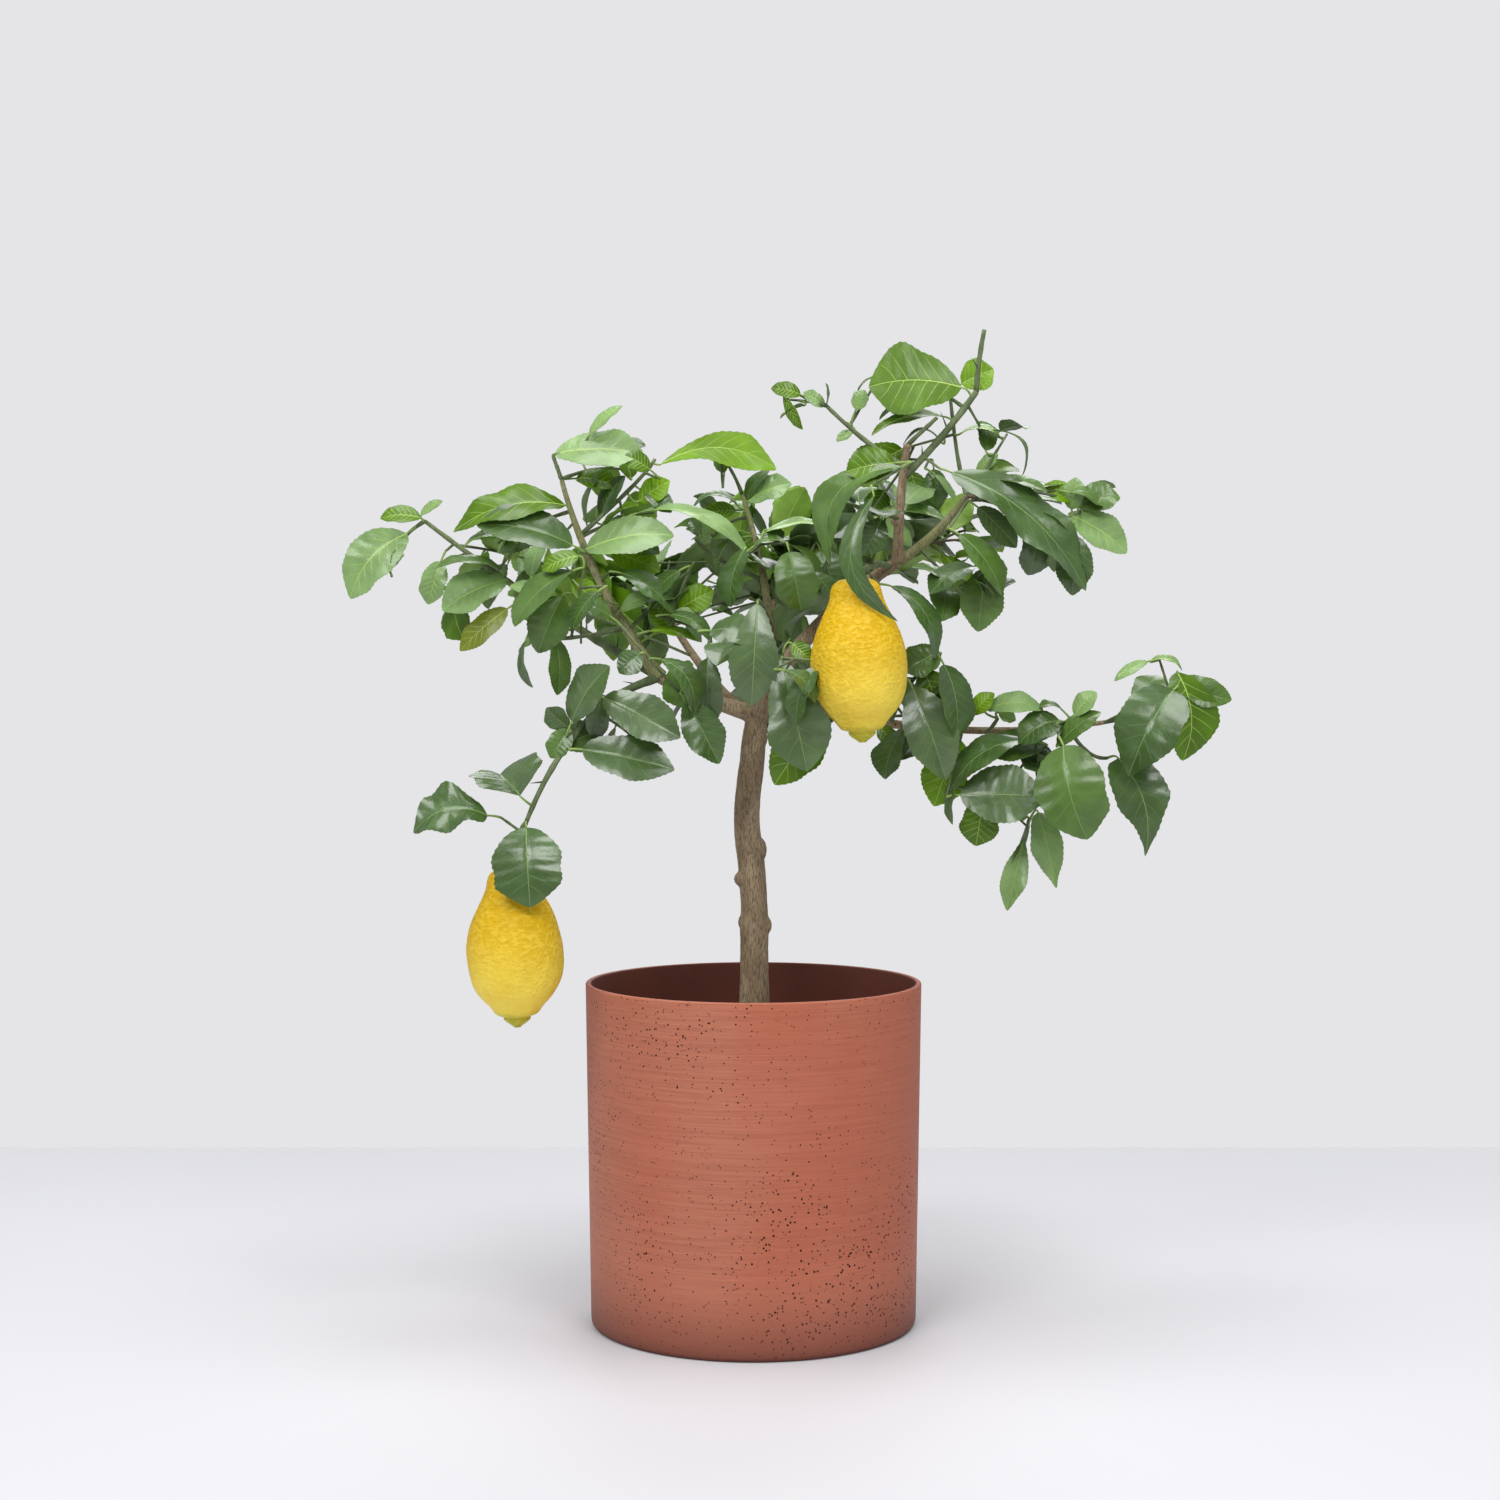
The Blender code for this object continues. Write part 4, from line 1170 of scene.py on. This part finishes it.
def lemonPaint(name, bottom):
    paint = Paint(name, IOR=1.3)
    pores = paint.cells("SMOOTH_F1", 560.0)
    dents = paint.cloud(330, (0.8, 0.8, 1.3), detail=2)
    patch = paint.cloud(26, detail=3)
    height = paint.height()
    # Painted shade and painted light: the peel is a deeper yellow towards the top and turns yellower low
    # down; the patches and the green at the nipple are the peel's own
    lowDown = paint.between(height, bottom + 74 * mm, bottom + 16 * mm)
    peel = paint.mix(lowDown, lemon["deep"], lemon["yellow"])
    peel = paint.mix(paint.between(patch, 0.45, 0.70) * 0.5, peel, lemon["deep"])
    # painted light from the floor: the peel turns paler low down
    peel = paint.mix(paint.between(height, bottom + 50 * mm, bottom + 18 * mm) * 0.25, peel, lemon["pale"])
    peel = paint.mix(paint.between(height, bottom + 15 * mm, bottom + 3 * mm) * 0.75, peel, lemon["green"])
    paint.set("Base_Color", paint.mix(paint.between(dents, 0.42, 0.62) * 0.25, peel, lemon["pale"]))
    paint.set("Roughness", 0.40 + pores * 0.25)
    paint.bump(dents * 0.9 + pores * 0.4, 1.3 * mm, 0.9)
    return paint


def makeLemon(mass):
    (topSide, topRise), (endSide, endRise), seed = lemon[mass]
    centre, _ = middleOf(mass)
    top = centre + Vector((topSide * mm, 0, topRise * mm))
    bottom = top + Vector((endSide * mm, 0, endRise * mm))
    way = (bottom - top).normalized()
    across = way.cross(Vector((0, 1, 0))).normalized()
    side = way.cross(across)
    length = (bottom - top).length
    rows, columns = lemon["grid"]
    points = []
    for i in range(rows):
        t = 0.5 - 0.5 * math.cos(math.pi * (0.004 + 0.992 * i / (rows - 1)))
        for k in range(columns):
            angle = math.tau * k / columns
            ring = across * math.cos(angle) + side * math.sin(angle)
            spot = ring + way * t * 3 + Vector((seed * 7.1, 0, 0))
            lumps = 0.030 * noise.noise(spot * 1.3) + 0.012 * noise.noise(spot * 4)
            furrow = 0.020 * math.cos(angle * 5 + seed) * math.exp(-(((t - 0.90) / 0.10) ** 2))
            dimple = 0.006 * noise.noise(spot * 17)
            radius = lemon["width"] / 2 * max(0.02, lemonRadius(t)) * (1 + lumps + furrow + dimple)
            points.append(tuple(top + way * (t * length) + ring * radius))
    quads = closedQuads(rows, columns)[:, ::-1]
    fruit = meshObject(f"{mass}_fruit", np.array(points), quads, lemonPaint(f"{mass} peel", bottom.z))
    settle(fruit, [mass])
    # the green star that holds it
    start = top - way * 1.5 * mm
    for k in range(5):
        angle = math.tau * k / 5 + seed
        ring = across * math.cos(angle) + side * math.sin(angle)
        path = bend(start, start + ring * 4 * mm, top + ring * 6.5 * mm + way * 1.2 * mm, 5)
        petioles.add(*pipe(path, np.array([1.6, 1.7, 1.5, 1.0, 0.4]) * mm))
    return top


def makeLemons():
    top = makeLemon("left_lemon")
    start = limbPoint("low_left_bough", 1)
    path = bend(start, start + Vector((-6 * mm, 0, -8 * mm)), top, 8)
    stem(greenStems, path, "leftLemon")
    top = makeLemon("right_lemon")
    start = limbPoint("right_bough", 0.93)
    path = bend(start, start + Vector((-12 * mm, -30 * mm, 6 * mm)), top, 8)
    stem(greenStems, path, "rightLemon")
    print("lemons")


# Pot and soil

pot = {
    "taper": 3.5 * mm,  # how much less its radius is at the foot than at the top
    "wall": 4.0 * mm,
    "lip": 1.2 * mm,  # the round of its rim
    "foot": 3.5 * mm,  # the round at its foot
    "floor": 8.0 * mm,
    "eye": 0.2 * mm,  # radius of the small flat in the middle of its floor and underside
    "columns": 256,
    "clay": shade(180, 109, 84),
    "clayLight": shade(196, 124, 98),
    "clayDark": shade(148, 84, 66),
    "clayRed": shade(174, 88, 62),
    # painted light: a paler clay for the foot, where the lamps light it too little
    "clayFootPaintedLight": shade(200, 124, 98),
    "pit": shade(22, 8, 6),
    "inside": shade(108, 60, 48),
    "pitsPerMetre": 350.0,
}


def potPaint(innerEdge):
    paint = Paint("brushed clay", IOR=1.32)
    fineBrush = paint.cloud(300, (0.05, 0.05, 3.0), detail=3, rough=0.8)
    patch = paint.cloud(9, detail=3)
    mottling = paint.between(paint.cloud(8, (1, 1, 0.4), detail=2), 0.40, 0.62)
    height = paint.height()
    clay = paint.mix(paint.between(fineBrush, 0.35, 0.65), pot["clayDark"], pot["clayLight"])
    clay = paint.mix(0.62, clay, pot["clay"])
    clay = paint.mix(mottling * 0.45, clay, pot["clayRed"])
    # painted light: the clay turns paler towards the foot, where the lamps' light falls off
    clay = paint.mix(paint.between(height, 0.08, 0.0) * 0.6, clay, pot["clayFootPaintedLight"])
    # the pits are larger in patches and low down, and most cells have none
    lowDown = paint.between(height, 0.20, 0.02)
    size = 0.14 + paint.between(patch, 0.42, 0.62) * 0.10 + lowDown * 0.05
    chance = paint.between(paint.cloud(390, detail=1), 0.47, 0.52)
    pits = paint.between(size * chance - paint.cells("F1", pot["pitsPerMetre"]), -0.01, 0.008)
    inside = paint.between(paint.distance((1, 1, 0)), innerEdge + 0.6 * mm, innerEdge - 0.6 * mm)
    paint.set("Base_Color", paint.mix(inside, paint.mix(pits, clay, pot["pit"]), pot["inside"]))
    paint.set("Roughness", 0.44 + fineBrush * 0.18 + pits * 0.3)
    paint.bump(fineBrush * 0.22 - pits, 0.7 * mm, 0.6)
    return paint


def makePot():
    _, (topRadius, _, height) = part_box("pot")
    footRadius = topRadius - pot["taper"]
    wall, lip, footRound, floor, eye = (pot[key] for key in ("wall", "lip", "foot", "floor", "eye"))
    profile = [(eye, 0)]
    profile += [(share * (footRadius - footRound), 0) for share in (0.5, 0.9)]
    for i in range(7):  # the round at the foot
        angle = math.radians(-90 + 15 * i)
        out, up = footRound * math.cos(angle), footRound * math.sin(angle)
        profile.append((footRadius - footRound + out, footRound + up))
    for i in range(1, 40):  # up the outside
        z = footRound + (height - lip - footRound) * (i / 40)
        profile.append((footRadius + (topRadius - footRadius) * z / height, z))
    for i in range(9):  # over the lip
        angle = math.radians(22.5 * i)
        edge = (i < 4) - (i > 4)  # the outer round of the lip, its flat and its inner round
        middle = topRadius - wall / 2 + (wall / 2 - lip) * edge
        profile.append((middle + lip * math.cos(angle), height - lip + lip * math.sin(angle)))
    for i in range(1, 14):  # down the inside
        z = height - lip - (height - lip - floor) * i / 14
        profile.append((footRadius + (topRadius - footRadius) * z / height - wall, z))
    profile += [(footRadius - wall, floor), (footRadius * 0.5, floor), (eye, floor)]
    columns = pot["columns"]
    turn = np.arange(columns) / columns * math.tau
    radii = np.array([radius for radius, _ in profile])[:, None]
    heights = np.array([z for _, z in profile])[:, None]
    points = np.stack([radii * np.cos(turn), radii * np.sin(turn), heights + 0 * turn], 2).reshape(-1, 3)
    paint = potPaint(topRadius - wall + 0.8 * mm)
    settle(meshObject("pot_shell", points, closedQuads(len(profile), columns), paint), ["pot"])
    print("pot")


soil = {
    "grid": (60, 160),
    "sunk": 2.0 * mm,  # how far its skin lies below the CAD soil's top, and again as far at the pot's wall
    "skirt": 12 * mm,
    "crumbs": 420,
    "crumb": (0.8, 2.6),  # the smallest and the largest, in millimetres
    "dark": shade(64, 48, 36),
    "brown": shade(88, 67, 49),
    "light": shade(124, 98, 74),
}


def makeSoil():
    paint = Paint("potting soil", Roughness=0.95)
    grain = paint.cloud(420, detail=5, rough=0.7)
    damp = paint.mix(paint.between(paint.cloud(30, detail=2), 0.35, 0.65), soil["dark"], soil["brown"])
    paint.set("Base_Color", paint.mix(paint.between(grain, 0.50, 0.75) * 0.6, damp, soil["light"]))
    paint.bump(grain, 0.7 * mm, 0.7)
    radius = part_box("soil")[1][0]
    rows, columns = soil["grid"]
    share = np.linspace(0.02, 1, rows)[:, None]
    turn = (np.arange(columns) / columns * math.tau)[None, :]
    x, y = radius * share * np.cos(turn), radius * share * np.sin(turn)
    z = np.zeros_like(x)
    for i in range(rows):
        for k in range(columns):
            spot = Vector((x[i, k], y[i, k], 0))
            fine = noise.noise(spot * 190 + Vector((5, 0, 0)))
            z[i, k] = 1.6 * mm * noise.noise(spot * 60) + 1.1 * mm * fine
    z += soilTop - soil["sunk"] - soil["sunk"] * share**3
    skirt = np.stack([x[-1], y[-1], np.full(columns, soilTop - soil["skirt"])], 1)
    points = np.concatenate([np.stack([x, y, z], 2).reshape(-1, 3), skirt])
    quads = gridQuads(rows + 1, columns, wrap=True)
    heap = Heap()
    heap.add(points, np.concatenate([quads, endQuads(0, columns)[:, ::-1]])[:, ::-1])
    dice = random.Random(7)
    for i in range(soil["crumbs"]):
        angle, out = dice.uniform(0, math.tau), math.sqrt(dice.uniform(0.03, 0.93)) * radius
        size = dice.uniform(*soil["crumb"]) * mm * (1 if dice.random() < 0.85 else 1.6)
        lump, faces = knob((out * math.cos(angle), out * math.sin(angle), soilTop - 1.6 * mm), size, 0.75)
        heap.add(lump + np.random.default_rng(i).normal(0, size * 0.10, lump.shape), faces)
    heap.pieces("soil_crumbs", paint, "soil", ["soil"])
    print("soil")


# Stage: floor, soft studio light and the camera

stage = {
    "floorBack": 0.62,
    "floorSide": 6,  # how far the floor runs to the left, the right and the front
    "fades": (1.0, 2.0),  # where the floor turns into the colour of the wall
    "wallShade": shade(229, 229, 231),
    "roomShade": shade(236, 240, 246),
    "roomStrength": 0.43,
    "floorShade": shade(213, 212, 215),
    "aim": (0, 0, 0.35),
    "lamps": [  # name, place, size, watts
        ("left_front", (-1.0, -2.0, 2.2), (1.1, 0.9), 32),
        ("right_front", (1.0, -1.9, 2.2), (1.0, 0.8), 23),
        ("overhead", (0, -0.1, 2.3), (1.6, 1.0), 29),
        ("left_side", (-2.2, -0.3, 1.5), (0.8, 1.0), 2),
        ("back_light", (0.2, 2.0, 1.9), (1.6, 1.0), 14),
    ],
    "camera": (-0.0024, -1.71, 0.446),
    "cameraDip": 1.8,  # degrees below level
    "lens": 60,
    "film": 36,
}


def makeFloor():
    paint = Paint("floor", Roughness=0.6, Emission_Strength=1.0)
    far = paint.between(paint.distance(), *stage["fades"])
    black = (0, 0, 0, 1)
    paint.set("Base_Color", paint.mix(far, stage["floorShade"], black))
    paint.set("Emission_Color", paint.mix(far, black, stage["wallShade"]))
    side, back = stage["floorSide"], stage["floorBack"]
    corners = np.array([(-side, -side, 0), (side, -side, 0), (side, back, 0), (-side, back, 0)])
    meshObject("floor", corners, np.array([[0, 1, 2, 3]]), paint, smooth=False)


def makeRoom():
    # the camera sees the wall's own shade, and the tree is lit by the room's
    world = bpy.data.worlds.new("studio")
    world.use_nodes = True
    room = Nodes(world.node_tree)
    wall = room.tree.nodes["Background"]
    room.feed(wall.inputs["Color"], stage["wallShade"])
    sockets = {"Color": stage["roomShade"], "Strength": stage["roomStrength"]}
    lit = room.node("ShaderNodeBackground", sockets=sockets)
    seen = room.node("ShaderNodeLightPath", out="Is Camera Ray")
    both = room.node("ShaderNodeMixShader", sockets={0: seen, 1: lit, 2: Wire(room, wall.outputs[0])})
    room.feed(room.tree.nodes["World Output"].inputs["Surface"], both)
    bpy.context.scene.world = world


def makeLamps():
    for name, place, size, watts in stage["lamps"]:
        lamp = bpy.data.lights.new(name, "AREA")
        lamp.shape = "RECTANGLE"
        lamp.size, lamp.size_y = size
        lamp.energy = watts
        made = linked(name, lamp)
        made.location = place
        made.rotation_euler = (Vector(stage["aim"]) - Vector(place)).to_track_quat("-Z", "Y").to_euler()


def makeCamera():
    camera = bpy.data.cameras.new("camera")
    camera.lens = stage["lens"]
    camera.sensor_width = stage["film"]
    made = linked("camera", camera)
    made.location = stage["camera"]
    made.rotation_euler = (math.radians(90 - stage["cameraDip"]), 0, 0)
    bpy.context.scene.camera = made


def makeStage():
    makeFloor()
    makeRoom()
    makeLamps()
    makeCamera()
    bpy.context.scene.view_settings.view_transform = "Standard"
    print("stage")


makeBark("old", oldLimbs, woodyLumps())
makeBark("young", youngLimbs)
makeLemons()
makeLeaves()
makePot()
makeSoil()
makeStage()
